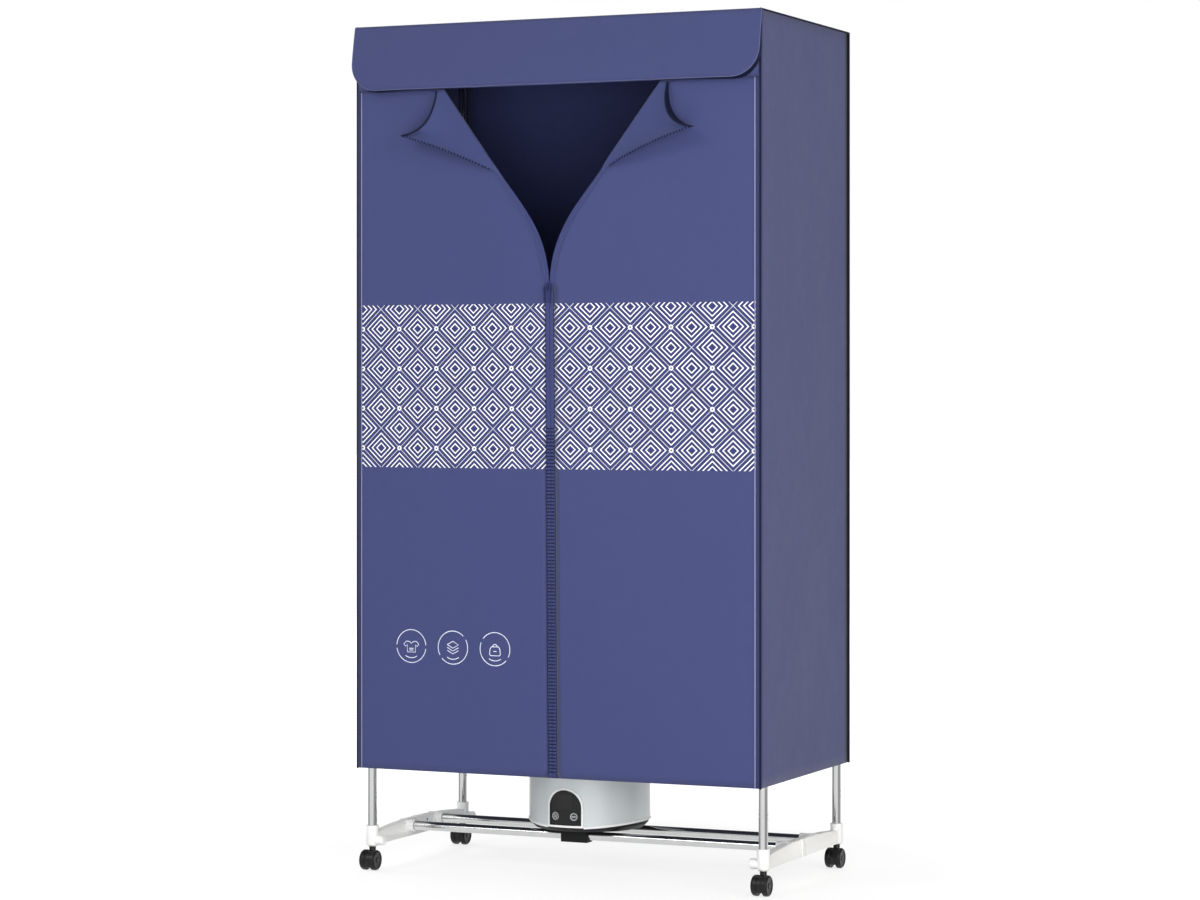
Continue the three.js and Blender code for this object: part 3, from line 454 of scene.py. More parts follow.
def castor_wheel(node, side):
    low, high, middle = span(node)
    out = 1 if middle.x > side * UPRIGHT_X else -1
    width = high.x - low.x
    radius = (high.z - low.z) / 2
    profile = [(0, 0), (radius - 0.0005, 0), (radius, 0.0006)]
    profile += [(radius - inward, width - back) for inward, back in TREAD_EDGE]
    profile += [(reach, width - back) for reach, back in HUB]
    at = Matrix.Translation((low.x if out > 0 else high.x, middle.y, middle.z))
    tread = moved(turned(profile, 56), at @ towards((out, 0, 0)))
    piece(node + "_tread", tread, castor_nylon, carrier[node], [node])


for end in ("front", "rear"):
    for side_name, side in SIDES:
        moulded(f"castor_hood_{end}_{side_name}", castor_nylon, 0.0007)
        moulded(f"castor_axle_{end}_{side_name}", plain_steel, 0.0003)
        for where in ("inner", "outer"):
            castor_wheel(f"castor_wheel_{where}_{end}_{side_name}", side)

# ---------------------------------------------------------------- cover walls
# Indigo woven polyester, about 1.5 mm thick with its backing, cut as flat panels and sewn into a box
# that hangs from the top frame. A thin round welt runs in every corner seam.
CLOTH = 0.0015
HALF_WIDTH = 0.384
FRONT_Y, BACK_Y = -0.200, 0.240
HEM_Z, ROOF_Z = 0.1855, 1.5
BACK_WIDTH, ROOF_WIDTH, SIDE_DEPTH = 0.764, 0.768, 0.440
WALL_HEIGHT = 1.3127
HEADER_Z, HEADER_HEIGHT = 1.3855, 0.1127
THREAD = 0.0011
WELT = 0.0017


def cloth_finish(name, across, up, dye=(56, 63, 112), fade=(61, 68, 116), printed=None, sheen=0.15):
    """Woven cloth; across and up are the axes that its threads follow."""
    finish = Finish(bpy.data.materials.new(name))
    axes = finish.axes(finish.place())
    warp = finish.math("SINE", axes[across] * (2 * math.pi / THREAD))
    weft = finish.math("SINE", axes[up] * (2 * math.pi / THREAD))
    slub = finish.noise(260, 3, 0.6)
    drape = finish.noise(5.5, 3, 0.45)
    base = finish.mix(finish.noise(1.6), colour(*dye), colour(*fade))
    base = finish.mix((warp * weft + 1) * 0.06, base, colour(46, 52, 98))
    base = finish.mix(slub * 0.12, base, colour(87, 93, 134) if sheen else colour(*fade))
    if printed:
        base = printed(finish, base, axes)
    return finish.surface(
        base,
        finish.between(finish.noise(40, 3), 0.6, 0.78),
        warp * weft * 0.05 + slub * 0.12 + drape * 14,
        0.00035,
        Sheen_Weight=sheen,
        Sheen_Roughness=0.5,
        Specular_IOR_Level=0.32 if sheen else 0.12,
    )


def edge_free(share, margin=0.12):
    """0 on a seam, 1 inside the panel."""
    near = min(share, 1 - share) / margin
    return 1.0 if near >= 1 else near * near * (3 - 2 * near)


def ripple(a, b, seed, size):
    return noise.noise(Vector((a * 3.1, b * 2.3, seed))) * size


def sewn(name, shape, finish, body, stands_for=()):
    return piece(name, shape, finish, body, stands_for, crease=60)


def cloth_sheet(name, columns, rows, place, finish, body, stands_for=(), thickness=CLOTH, zone=None):
    """A cloth panel: a grid laid by place(share across, share up), thickened about its middle."""
    shape = bmesh.new()
    bmesh.ops.create_grid(shape, x_segments=columns, y_segments=rows, size=0.5)
    for face in shape.faces if zone else ():
        middle = face.calc_center_median()
        face.material_index = zone(middle.x + 0.5, middle.y + 0.5)
    for vert in shape.verts:
        vert.co = place(vert.co.x + 0.5, vert.co.y + 0.5)
    bmesh.ops.recalc_face_normals(shape, faces=shape.faces)
    made = sewn(name, shape, finish, body, stands_for)
    solid = made.modifiers.new("thickness", "SOLIDIFY")
    solid.thickness = thickness
    solid.offset = 0
    return made


def back_place(across, up):
    free = edge_free(across) * edge_free(up)
    y = BACK_Y - CLOTH / 2 - free * (0.001 + ripple(across, up, 3, 0.002))
    return Vector(((across - 0.5) * BACK_WIDTH, y, HEM_Z + up * WALL_HEIGHT))


def side_place(side):
    def place(across, up):
        free = edge_free(across) * edge_free(up, 0.05)
        x = HALF_WIDTH - CLOTH / 2 - free * (ripple(across, up, 5 + side, 0.0012) - 0.0002)
        return Vector((side * x, FRONT_Y + across * SIDE_DEPTH, HEM_Z + up * WALL_HEIGHT))

    return place


def roof_place(across, up):
    sag = 0.0022 * math.sin(math.pi * across) * math.sin(math.pi * up)
    z = ROOF_Z - CLOTH / 2 - sag + edge_free(across) * edge_free(up) * ripple(across, up, 9, 0.0008)
    return Vector(((across - 0.5) * ROOF_WIDTH, FRONT_Y + up * SIDE_DEPTH, z))


def header_place(across, up):
    x = (across - 0.5) * BACK_WIDTH
    return Vector((x, FRONT_Y + CLOTH / 2, HEADER_Z + up * HEADER_HEIGHT))


SIDE_COLUMNS = 34
REAR_SHADE_BAND = 0.028


def rear_painted_shade(finish, base, axes):
    """Darker towards the rear corner: painted shade where the side meets the back."""
    share = (axes[1] - (BACK_Y - REAR_SHADE_BAND)) / REAR_SHADE_BAND
    return finish.mix(finish.limited(share * 2), base, colour(9, 10, 20))


def side_zone(across, up):
    """Which cloth a face is: 0 the face cloth, 1 dark matt tape in the rear seam, partly painted shade.
    """
    return int(across > 1 - 1 / SIDE_COLUMNS)


cloth_back = cloth_finish("cloth_back", 0, 2)
# The side's cloth is printed darker towards its rear edge as painted shade at the corner.
cloth_side = cloth_finish("cloth_side", 1, 2, printed=rear_painted_shade)
# The rear seam's tape: near-black matt cloth, partly a binding tape and partly painted shade.
rear_tape = cloth_finish("rear_tape", 1, 2, (6, 7, 14), (9, 10, 18), sheen=0.0)
cloth_roof = cloth_finish("cloth_roof", 0, 1)
back = cloth_sheet("cover_back_cloth", 44, 70, back_place, cloth_back, "cabinet", ["cover_back"])
for side_name, side in SIDES:
    wall = cloth_sheet(
        f"cover_{side_name}_side_cloth",
        SIDE_COLUMNS,
        70,
        side_place(side),
        cloth_side,
        "cabinet",
        [f"cover_{side_name}_side"],
        zone=side_zone,
    )
    wall.data.materials.append(rear_tape)
roof = cloth_sheet("cover_roof_cloth", 44, 26, roof_place, cloth_roof, "cabinet", ["cover_roof"])
header = cloth_sheet("cover_header_cloth", 40, 6, header_place, cloth_back, "cabinet", ["cover_header"])

welt_cloth = cloth_finish("welt_cloth", 0, 2, (44, 50, 92), (50, 56, 100))
# Dark matt cloth for welts and tape, and for the sheets that are painted shade behind flaps.
seam_tape = cloth_finish("seam_tape", 0, 2, (18, 20, 40), (24, 27, 50), sheen=0.0)


def welt(name, points):
    """A cord sewn into a seam along straight runs; its very dark cloth is partly painted shade."""
    shape = bmesh.new()
    tip = WELT * 0.7
    for start, end in zip(points, points[1:]):
        start, end = Vector(start), Vector(end)
        length = (end - start).length
        profile = [(0, -WELT), (tip, -tip), (WELT, 0)]
        profile += [(WELT, length), (tip, length + tip), (0, length + WELT)]
        at = Matrix.Translation(start) @ towards(end - start)
        add_shape(shape, moved(turned(profile, 16), at))
    sewn(name, shape, seam_tape, "cabinet")


WELT_IN = 0.0004
welt_x = HALF_WIDTH - WELT_IN
for side_name, side in SIDES:
    for end, y in (("front", FRONT_Y + WELT_IN), ("rear", BACK_Y - WELT_IN)):
        corner = [(side * welt_x, y, HEM_Z), (side * welt_x, y, ROOF_Z - WELT)]
        welt(f"corner_welt_{end}_{side_name}", corner)
front_end, rear_end = FRONT_Y + 0.001, BACK_Y - WELT_IN
around_roof = [(-1, front_end), (-1, rear_end), (1, rear_end), (1, front_end)]
welt("roof_welt", [(side * welt_x, y, ROOF_Z - 0.0006) for side, y in around_roof])

# ---------------------------------------------------------------- cover floor
# The cover's floor is a darker cloth of the same weave, with an elastic-edged hole that the heater pod
# stands through and a hole at each upright.
FLOOR_Z = 0.1870 + CLOTH / 2
FLOOR_DEPTH = 0.436
POD_X, POD_Y = -0.030, 0.020
POD_RADIUS = 0.1085
UPRIGHT_HOLE = 0.0085
UPRIGHT_Y = (-0.161, 0.201)
ELASTIC_REACH, ELASTIC_ROUND = 0.1104, 0.0016


def carve(shape, cutter, operation="DIFFERENCE"):
    """The shape after a boolean with a cutter; both shapes are used up."""
    made = []
    for held, name in ((shape, "held_shape"), (cutter, "held_cutter")):
        mesh = bpy.data.meshes.new(name)
        held.to_mesh(mesh)
        held.free()
        thing = bpy.data.objects.new(name, mesh)
        bpy.context.scene.collection.objects.link(thing)
        made.append(thing)
    body, tool = made
    change = body.modifiers.new("carve", "BOOLEAN")
    change.operation = operation
    change.object = tool
    change.solver = "EXACT"
    bpy.context.view_layer.update()
    result = bmesh.new()
    result.from_mesh(body.evaluated_get(bpy.context.evaluated_depsgraph_get()).to_mesh())
    for thing in made:
        mesh = thing.data
        bpy.data.objects.remove(thing)
        bpy.data.meshes.remove(mesh)
    bmesh.ops.remove_doubles(result, verts=result.verts, dist=1e-6)
    return result


def peg(radius, low, high, steps):
    return turned([(0, low), (radius, low), (radius, high), (0, high)], steps)


floor_cloth = bmesh.new()
bmesh.ops.create_grid(floor_cloth, x_segments=56, y_segments=32, size=0.5)
for vert in floor_cloth.verts:
    x, y = vert.co.x * BACK_WIDTH, vert.co.y * FLOOR_DEPTH + POD_Y
    reach = math.hypot(x - POD_X, y - POD_Y)
    gather = 0.0008 * math.exp(-((reach - POD_RADIUS) / 0.03) ** 2)
    wave = gather * math.sin(22 * math.atan2(y - POD_Y, x - POD_X))
    vert.co = (x, y, FLOOR_Z + wave)
bmesh.ops.solidify(floor_cloth, geom=floor_cloth.faces[:], thickness=CLOTH)
bmesh.ops.translate(floor_cloth, vec=(0, 0, CLOTH / 2), verts=floor_cloth.verts)
holes = moved(peg(POD_RADIUS + 0.0008, 0.17, 0.21, 96), Matrix.Translation((POD_X, POD_Y, 0)))
for x in (-UPRIGHT_X, UPRIGHT_X):
    for y in UPRIGHT_Y:
        add_shape(holes, moved(peg(UPRIGHT_HOLE, 0.17, 0.21, 24), Matrix.Translation((x, y, 0))))
floor_cloth = carve(floor_cloth, holes)
cloth_floor = cloth_finish("cloth_floor", 0, 1, (44, 46, 56), (52, 54, 64))
floor_sheet = sewn("cover_floor_cloth", floor_cloth, cloth_floor, "cabinet", ["cover_floor"])
bends = [i * math.pi / 5 for i in range(11)]
rounded = [(ELASTIC_REACH + ELASTIC_ROUND * math.cos(a), ELASTIC_ROUND * math.sin(a)) for a in bends]
elastic = moved(turned(rounded, 120), Matrix.Translation((POD_X, POD_Y, FLOOR_Z)))
floor_hem = sewn("floor_elastic", elastic, welt_cloth, "cabinet")

# ---------------------------------------------------------------- valance
# A flap of the same cloth, sewn to the roof's front edge, hangs over the top of the front and stands
# out over the folded corners. Its lower corners are rounded, and narrow tape binds its edge, pale as a
# painted highlight. A dark facing turns in behind that: painted shade for the gap behind the flap.
VALANCE_HINGE = Vector((0, FRONT_Y - 0.0018, 1.5003))
VALANCE_LEAN = math.radians(9.4)
VALANCE_HALF = 0.387
VALANCE_LENGTH = 0.11605
VALANCE_CORNER = 0.050
VALANCE_BOW = 0.0016
RIM_STEPS, END_STEPS = 120, 11
RIM_ALL = RIM_STEPS + 2 * END_STEPS
END_TOP, END_STEP = 0.002, 0.006


def valance_point(x, down, out=0.0):
    """x across, down along the cloth from the seam and out of its face."""
    bow = VALANCE_BOW * math.sin(math.pi * down / VALANCE_LENGTH)
    bow += ripple(x * 4, down * 9, 21, 0.0012) * (down / VALANCE_LENGTH)
    y = -down * math.sin(VALANCE_LEAN) - (bow + out) * math.cos(VALANCE_LEAN) + CLOTH / 2
    z = -down * math.cos(VALANCE_LEAN) + (bow + out) * math.sin(VALANCE_LEAN) - 0.0003
    return VALANCE_HINGE + Vector((x, y, z))


def valance_rim(x):
    """How far down the flap reaches at x, with its rounded corners."""
    past = max(0.0, abs(x) - (VALANCE_HALF - VALANCE_CORNER))
    return VALANCE_LENGTH - VALANCE_CORNER + math.sqrt(max(VALANCE_CORNER**2 - past**2, 0))


def valance_place(across, up):
    x = VALANCE_HALF * math.sin((across - 0.5) * math.pi)
    return valance_point(x, valance_rim(x) * (1 - up))


def rim_mark(share):
    """A point on the flap's edge, as x and down, from its left end (0) to its right end (1)."""
    step = share * RIM_ALL
    if step < END_STEPS:
        return -VALANCE_HALF, END_TOP + step * END_STEP
    if step > RIM_STEPS + END_STEPS:
        return VALANCE_HALF, END_TOP + (RIM_ALL - step) * END_STEP
    x = VALANCE_HALF * math.sin(((step - END_STEPS) / RIM_STEPS - 0.5) * math.pi)
    return x, valance_rim(x)


def shade_facing_place(across, up):
    """Turns in from the edge, deeper where the flap stands farther out: painted shade for the gap."""
    x, down = rim_mark(across)
    deep = 0.0008 + 0.0022 * min(1, abs(x) / 0.15)
    deep += 0.014 * min(1, max(0, (abs(x) - 0.26) / 0.09))
    return valance_point(x, down, -min(deep, 0.15 * down) * up)


def swept(lines, radius, rounding):
    """A round section swept along lines of points."""
    track = bpy.data.curves.new("track", "CURVE")
    track.dimensions = "3D"
    track.bevel_depth = radius
    track.bevel_resolution = rounding
    track.use_fill_caps = True
    for points in lines:
        line = track.splines.new("POLY")
        line.points.add(len(points) - 1)
        for knot, point in zip(line.points, points):
            knot.co = (*point, 1)
    held = bpy.data.objects.new("track", track)
    bpy.context.scene.collection.objects.link(held)
    bpy.context.view_layer.update()
    shape = bmesh.new()
    shape.from_mesh(held.evaluated_get(bpy.context.evaluated_depsgraph_get()).to_mesh())
    bpy.data.objects.remove(held)
    bpy.data.curves.remove(track)
    return shape


cloth_valance = cloth_finish("cloth_valance", 0, 2, (56, 63, 110), (61, 68, 114))
# The binding's pale cloth is a painted highlight along the flap's edge.
binding_cloth = cloth_finish("binding_cloth", 0, 2, (84, 90, 134), (92, 98, 142))
valance = cloth_sheet("valance_cloth", 90, 16, valance_place, cloth_valance, "valance", ["valance"])
rim = swept([[valance_point(*rim_mark(i / RIM_ALL)) for i in range(RIM_ALL + 1)]], 0.0009, 3)
valance_tape = sewn("valance_binding", rim, binding_cloth, "valance")
# A dark sheet behind the flap's edge: painted shade for the gap behind the flap.
valance_facing = cloth_sheet(
    "valance_facing", RIM_ALL, 3, shade_facing_place, seam_tape, "valance", (), 0.0012
)

# ---------------------------------------------------------------- front panels
# Each half of the front is one cloth panel from the corner seam to the zip. The zip is open at the
# top, and the corner beside it is folded out over the front. A lattice band and badges are printed on.
ZIP_EDGE = 0.0069
ZIP_LINE = 0.0006
SLIDER_Z = 1.034
PANEL_TOP = 1.3852
SEAM_X = 0.3822
FOLD_START = Vector((0.099, 1.238))
FOLD_END = Vector((0.208, PANEL_TOP))
FOLD_RADIUS = 0.004
TIP = Vector((0.276, 1.302))
TIP_PROUD = 0.040
HEM_RUN, HEM_ROUND = 0.0012, 0.0003
HEM_CURL = 0.0011
CORNER_SHADE_BAND = 0.0095
STRAIGHT_ROWS, OPEN_ROWS, FOLD_ROWS = 62, 30, 26
FREE_ROW = STRAIGHT_ROWS + OPEN_ROWS
ALL_ROWS = FREE_ROW + FOLD_ROWS
MAIN_COLUMNS, ARC_COLUMNS, LAPEL_COLUMNS = 34, 8, 14
ALL_COLUMNS = MAIN_COLUMNS + ARC_COLUMNS + LAPEL_COLUMNS


def lean(z):
    """How far the front stands out at the zip."""
    if z <= SLIDER_Z:
        return 0.003 + 0.014 * (z - HEM_Z) / (SLIDER_Z - HEM_Z)
    return 0.017 + 0.001 * (z - SLIDER_Z) / (PANEL_TOP - SLIDER_Z)


def front_y(x, z):
    """Middle of the front's cloth."""
    across = abs(x) / HALF_WIDTH
    rise = (z - HEM_Z) / (PANEL_TOP - HEM_Z)
    free = edge_free(across, 0.2) * edge_free(rise, 0.08)
    y = FRONT_Y + CLOTH / 2 - lean(z) * (1 - across)
    return y - free * (0.0004 + ripple(x * 2.4, z * 2, 31, 0.0016))


def cubic(a, b, c, d, t):
    u = 1 - t
    return a * u**3 + b * (3 * u * u * t) + c * (3 * u * t * t) + d * t**3


def quadratic(a, b, c, t):
    u = 1 - t
    return a * u * u + b * (2 * u * t) + c * t * t


fold_way = (FOLD_END - FOLD_START).normalized()
zip_top = Vector((ZIP_LINE, SLIDER_Z))


def opening(share):
    """The zip's own line from the slider to where the corner starts to fold out."""
    leave = zip_top + Vector((0.002, 0.096))
    return cubic(zip_top, leave, FOLD_START - fold_way * 0.084, FOLD_START, share)


lapel_top = Vector((FOLD_END.x + 0.012, PANEL_TOP))
lapel_hollow = (lapel_top + TIP) / 2 + Vector((-0.036, -0.036))
lapel_belly = (TIP + FOLD_START) / 2 + Vector((0.006, 0.010))
lapel_root = FOLD_START + Vector((0.0055, -0.0015))


def edge_row(row):
    """Where a row of the panel ends or folds, its way out there, its run, its radius and its swell."""
    if row <= STRAIGHT_ROWS:
        point = Vector((ZIP_EDGE, HEM_Z + (SLIDER_Z - HEM_Z) * row / STRAIGHT_ROWS))
        return point, Vector((1, 0)), HEM_RUN, HEM_ROUND, 0
    if row <= FREE_ROW:
        share = (row - STRAIGHT_ROWS) / OPEN_ROWS
        point = opening(share) + Vector((ZIP_EDGE - ZIP_LINE, 0)) * (1 - share**4)
        way = Vector((1, 0)).lerp(Vector((0.8, -0.2)), share).normalized()
        grown = min(1, share * 6)
        run = HEM_RUN + 0.0028 * grown + 0.002 * share**3
        return point, way, run, HEM_ROUND + (HEM_CURL - HEM_ROUND) * grown, 0
    share = (row - FREE_ROW) / FOLD_ROWS
    point = FOLD_START.lerp(FOLD_END, share)
    along = 1 - share
    if along <= 0.5:
        rim_point = quadratic(lapel_top, lapel_hollow, TIP, 2 * along)
    else:
        rim_point = quadratic(TIP, lapel_belly, lapel_root, 2 * along - 1)
    way = rim_point - point
    run = way.length
    radius = HEM_CURL + (FOLD_RADIUS - HEM_CURL) * min(1, run / 0.03)
    return point, way.normalized(), run, radius, math.sin(math.pi * share)


tip_out = TIP_PROUD - lean(TIP.y) * (1 - TIP.x / HALF_WIDTH) - 2 * FOLD_RADIUS


def panel_at(side, row, column):
    """Where a panel's cloth is: rows go up, columns from the corner seam to the free edge."""
    point, way, run, radius, swell = edge_row(row)
    if column <= MAIN_COLUMNS:
        start = point.x + way.x * radius
        x = SEAM_X + (start - SEAM_X) * column / MAIN_COLUMNS
        z = point.y + way.y * radius * (column / MAIN_COLUMNS) ** 8
        out = 0.0007 if x > HALF_WIDTH - CORNER_SHADE_BAND else 0.0
    elif column <= MAIN_COLUMNS + ARC_COLUMNS:
        angle = math.pi * (column - MAIN_COLUMNS) / ARC_COLUMNS
        x, z = point + way * (radius * (1 - math.sin(angle)))
        out = radius * (1 - math.cos(angle))
    else:
        share = (column - MAIN_COLUMNS - ARC_COLUMNS) / LAPEL_COLUMNS
        x, z = point + way * (radius + (run - radius) * share)
        out = 2 * radius + tip_out * swell * share**1.5
    return Vector((side * x, front_y(side * x, z) - out, z))


def panel_place(side):
    def place(across, up):
        return panel_at(side, round(up * ALL_ROWS), round(across * ALL_COLUMNS))

    return place


def panel_zone(across, up):
    """Which cloth a face is: 0 face cloth, 1 the corner's lining, 2 the hem by the zip, in painted
    shade.
    """
    if across * ALL_COLUMNS < MAIN_COLUMNS:
        return 0
    if up * ALL_ROWS < STRAIGHT_ROWS:
        return 2
    return int(across * ALL_COLUMNS > MAIN_COLUMNS + ARC_COLUMNS / 2)


def corner_shade_facing(side):
    """The corner's upper edge rolls back to the panel, least at the tip; dark, as painted shade there.
    """

    def place(across, up):
        edge = panel_at(side, FREE_ROW + (0.5 + 0.48 * across) * FOLD_ROWS, ALL_COLUMNS)
        gap = front_y(edge.x, edge.z) - CLOTH - edge.y
        return edge + Vector((0, gap * up * min(1, 0.25 + 3 * across), 0))

    return place


BAND_LOW, BAND_HIGH = 0.720, 1.006
BAND_IN, BAND_OUT = 0.0080, 0.3755
PERIOD_X, PERIOD_Z = 0.0745, 0.0700
ROW_Z = 0.964
RINGS = (0.24, 0.49, 0.74)
RING_HALF, GRID_HALF = 0.041, 0.022
KNOT_IN, KNOT_OUT = 0.0015, 0.0043


def lattice_print(finish, base, axes):
    """Nested diamonds, printed in white between the hem tape and the corner seam."""
    across = axes[0] / PERIOD_X
    up = (axes[2] - ROW_Z) / PERIOD_Z
    cell_x = abs(finish.math("FRACT", across + 100) - 0.5)
    cell_z = 0.5 - abs(finish.math("FRACT", up + 100) - 0.5)
    ring_at = 1 - abs(1 - (cell_x + cell_z) * 2)
    ink = (abs(ring_at - 1) < GRID_HALF) * 0.75
    for middle in RINGS:
        ink = finish.math("MAXIMUM", ink, abs(ring_at - middle) < RING_HALF)
    knot = finish.reach((0.5 - cell_x) * PERIOD_X, cell_z * PERIOD_Z)
    ink = finish.math("MAXIMUM", ink, knot < KNOT_OUT) * (knot > KNOT_IN)
    wide = abs(axes[0])
    inside = (wide > BAND_IN) * (wide < BAND_OUT) * (axes[2] > BAND_LOW) * (axes[2] < BAND_HIGH)
    inside = inside * (finish.axes(finish.node("TexCoord", output="Normal"))[1] < -0.3)
    ground = finish.mix(inside, base, colour(47, 54, 110))
    return finish.mix(ink * inside, ground, colour(243, 244, 245))


# The band along each corner seam is darkened: painted shade where the front turns into the corner.
def print_and_corner_shade(finish, base, axes):
    shade = (abs(axes[0]) > HALF_WIDTH - CORNER_SHADE_BAND) * 0.85
    return lattice_print(finish, finish.mix(shade, base, colour(38, 43, 80)), axes)


cloth_front = cloth_finish("cloth_front", 0, 2, printed=print_and_corner_shade)
cloth_lining = cloth_finish("cloth_lining", 0, 2, (50, 59, 108), (55, 64, 112))
# The hem beside the closed zip is darkened: painted shade in its fold.
hem_tape = cloth_finish("hem_tape", 0, 2, (26, 30, 58), (32, 36, 66), sheen=0.0)
for side_name, side in SIDES:
    door = f"front_{side_name}_door"
    panel = cloth_sheet(
        f"front_{side_name}_cloth",
        ALL_COLUMNS,
        ALL_ROWS,
        panel_place(side),
        cloth_front,
        door,
        [f"front_{side_name}_panel"],
        0.0013,
        panel_zone,
    )
    panel.data.materials.append(cloth_lining)
    panel.data.materials.append(hem_tape)
    roll = corner_shade_facing(side)
    facing = cloth_sheet("corner_facing_" + side_name, 24, 3, roll, seam_tape, door, (), 0.001)

BADGES = (-0.275, -0.1925, -0.110)
BADGE_Z = 0.405
BADGE_RADIUS = 0.029
SMILE_RADIUS = 0.0205
STROKE = 0.00068
GAPS = [((4, 176), (188, 352)), ((45, 208), (222, 390)), ((-28, 142), (158, 318))]


def arc(radius, start, end, z=0.0):
    """Points on an arc; degrees count from 3 o'clock upwards."""
    angles = [math.radians(start + (end - start) * i / 40) for i in range(41)]
    return [(radius * math.cos(a), z + radius * math.sin(a)) for a in angles]


def in_metres(*points):
    """A line of points given in millimetres."""
    return [(x / 1000, z / 1000) for x, z in points]


half_shirt = [(-3.5, 8), (-10, 8.5), (-15, 3.5), (-11.5, -0.5), (-8, 2), (-8, -10.5)]
shirt = half_shirt + [(-x, z) for x, z in reversed(half_shirt)] + [(0, 4.5), (-3.5, 8)]
half_weight = [(9.5, 0), (10.5, -9), (8.5, -11.5)]
weight = [(-7, 4), (7, 4)] + half_weight + [(-x, z) for x, z in reversed(half_weight)] + [(-7, 4)]
shirt_sign = [in_metres(*shirt), in_metres((-4, -4), (4, -4)), in_metres((-4, -7), (4, -7))]
layer_sign = [in_metres((-11, 5), (0, 11), (11, 5), (0, -1), (-11, 5))]
layer_sign += [in_metres((-11, z), (0, z - 6), (11, z)) for z in (0, -5)]
weight_sign = [in_metres(*weight), arc(0.0042, 0, 180, 0.004), in_metres((-3, -4), (3, -4))]


def printed_lines(name, strokes, radius, finish, body, proud=0.0007):
    """Fine lines that lie on the front's cloth, standing proud of its middle."""
    shape = swept([[(x, 0, z) for x, z in stroke] for stroke in strokes], radius, 2)
    for vert in shape.verts:
        vert.co.y = front_y(vert.co.x, vert.co.z) - proud + vert.co.y * 0.25
    sewn(name, shape, finish, body)


printed_ink = speckled(
    "printed_ink", (216, 225, 246), (232, 238, 252), (400, 2), (90, 2), (0.5, 0.65), (2000, 2),
)
badge_strokes = []
for badge_x, sign, halves in zip(BADGES, (shirt_sign, layer_sign, weight_sign), GAPS):
    strokes = [arc(BADGE_RADIUS, start, end) for start, end in halves]
    strokes += sign
    strokes.append(arc(SMILE_RADIUS, 236, 304))
    badge_strokes += [[(badge_x + x, BADGE_Z + z) for x, z in stroke] for stroke in strokes]
printed_lines("printed_badges", badge_strokes, STROKE, printed_ink, "front_left_door")
# A pale cord beside each corner seam: a painted highlight along the seam's ridge.
pale_thread = cloth_finish("pale_thread", 0, 2, (134, 139, 180), (144, 149, 188))
seam_heights = [HEM_Z + 0.001 + (PANEL_TOP - HEM_Z - 0.002) * i / 60 for i in range(61)]
for side_name, side in SIDES:
    seam = [(side * (HALF_WIDTH - CORNER_SHADE_BAND), z) for z in seam_heights]
    door = f"front_{side_name}_door"
    printed_lines("corner_seam_" + side_name, [seam], 0.0010, pale_thread, door, 0.0018)

# ---------------------------------------------------------------- zip
# A coarse moulded zip: each half has a folded tape beside its row of teeth. The teeth also run on along
# the free edge of the folded corner, whose upper edge carries a dark cord that stands in for the shadow
# along it (painted shadow). The slider has two plates, a bail and a hanging pull.
TAPE_WIDTH = 0.0069
TAPE_IN = 0.00036
TAPE_CROWN = 0.0003
TOOTH_PITCH = 0.0060
TOOTH_LOW, TOOTH_HIGH = 0.196, 0.792
TOOTH_DEPTH, TOOTH_HEIGHT = 0.0016, 0.0028

zip_finish = Finish(bpy.data.materials.new("zip_tape"))
ribs = zip_finish.math("SINE", zip_finish.axes(zip_finish.place())[2] * (2 * math.pi / 0.0012))
zip_tape = zip_finish.surface(
    zip_finish.mix(zip_finish.noise(90), colour(50, 57, 104), colour(60, 67, 116)),
    zip_finish.between(zip_finish.noise(150), 0.5, 0.62),
    ribs * 0.3 + zip_finish.noise(500),
    0.00006,
    Specular_IOR_Level=0.28,
)
zip_teeth = speckled(
    "zip_teeth", (14, 18, 48), (20, 25, 58), (200, 2), (400, 2), (0.45, 0.6), (1500, 2), 0.00002,
    Specular_IOR_Level=0.2,
)


def tape_place(side):
    def place(across, up):
        row = round(up * FREE_ROW)
        if row <= STRAIGHT_ROWS:
            edge = Vector((TAPE_IN, HEM_Z + (SLIDER_Z - HEM_Z) * row / STRAIGHT_ROWS))
        else:
            edge = opening((row - STRAIGHT_ROWS) / OPEN_ROWS * 0.97) + Vector((TAPE_IN - ZIP_LINE, 0))
        x = edge.x + TAPE_WIDTH * (1 - across)
        crown = TAPE_CROWN * (1 - (2 * across - 1) ** 2)
        return Vector((side * x, front_y(side * x, edge.y) - crown, edge.y))

    return place


def bar(length, width, height, round_over):
    """A block with its edges taken off."""
    shape = bmesh.new()
    bmesh.ops.create_cube(shape, size=1.0)
    bmesh.ops.scale(shape, vec=(length, width, height), verts=shape.verts)
    round_edges(shape, shape.edges[:], round_over, 1)
    return shape


def tooth(at, width, turn=0.0):
    place_at = Matrix.Translation(at) @ Matrix.Rotation(turn, 4, "Y")
    return moved(bar(width, TOOTH_DEPTH, TOOTH_HEIGHT, 0.0004), place_at)


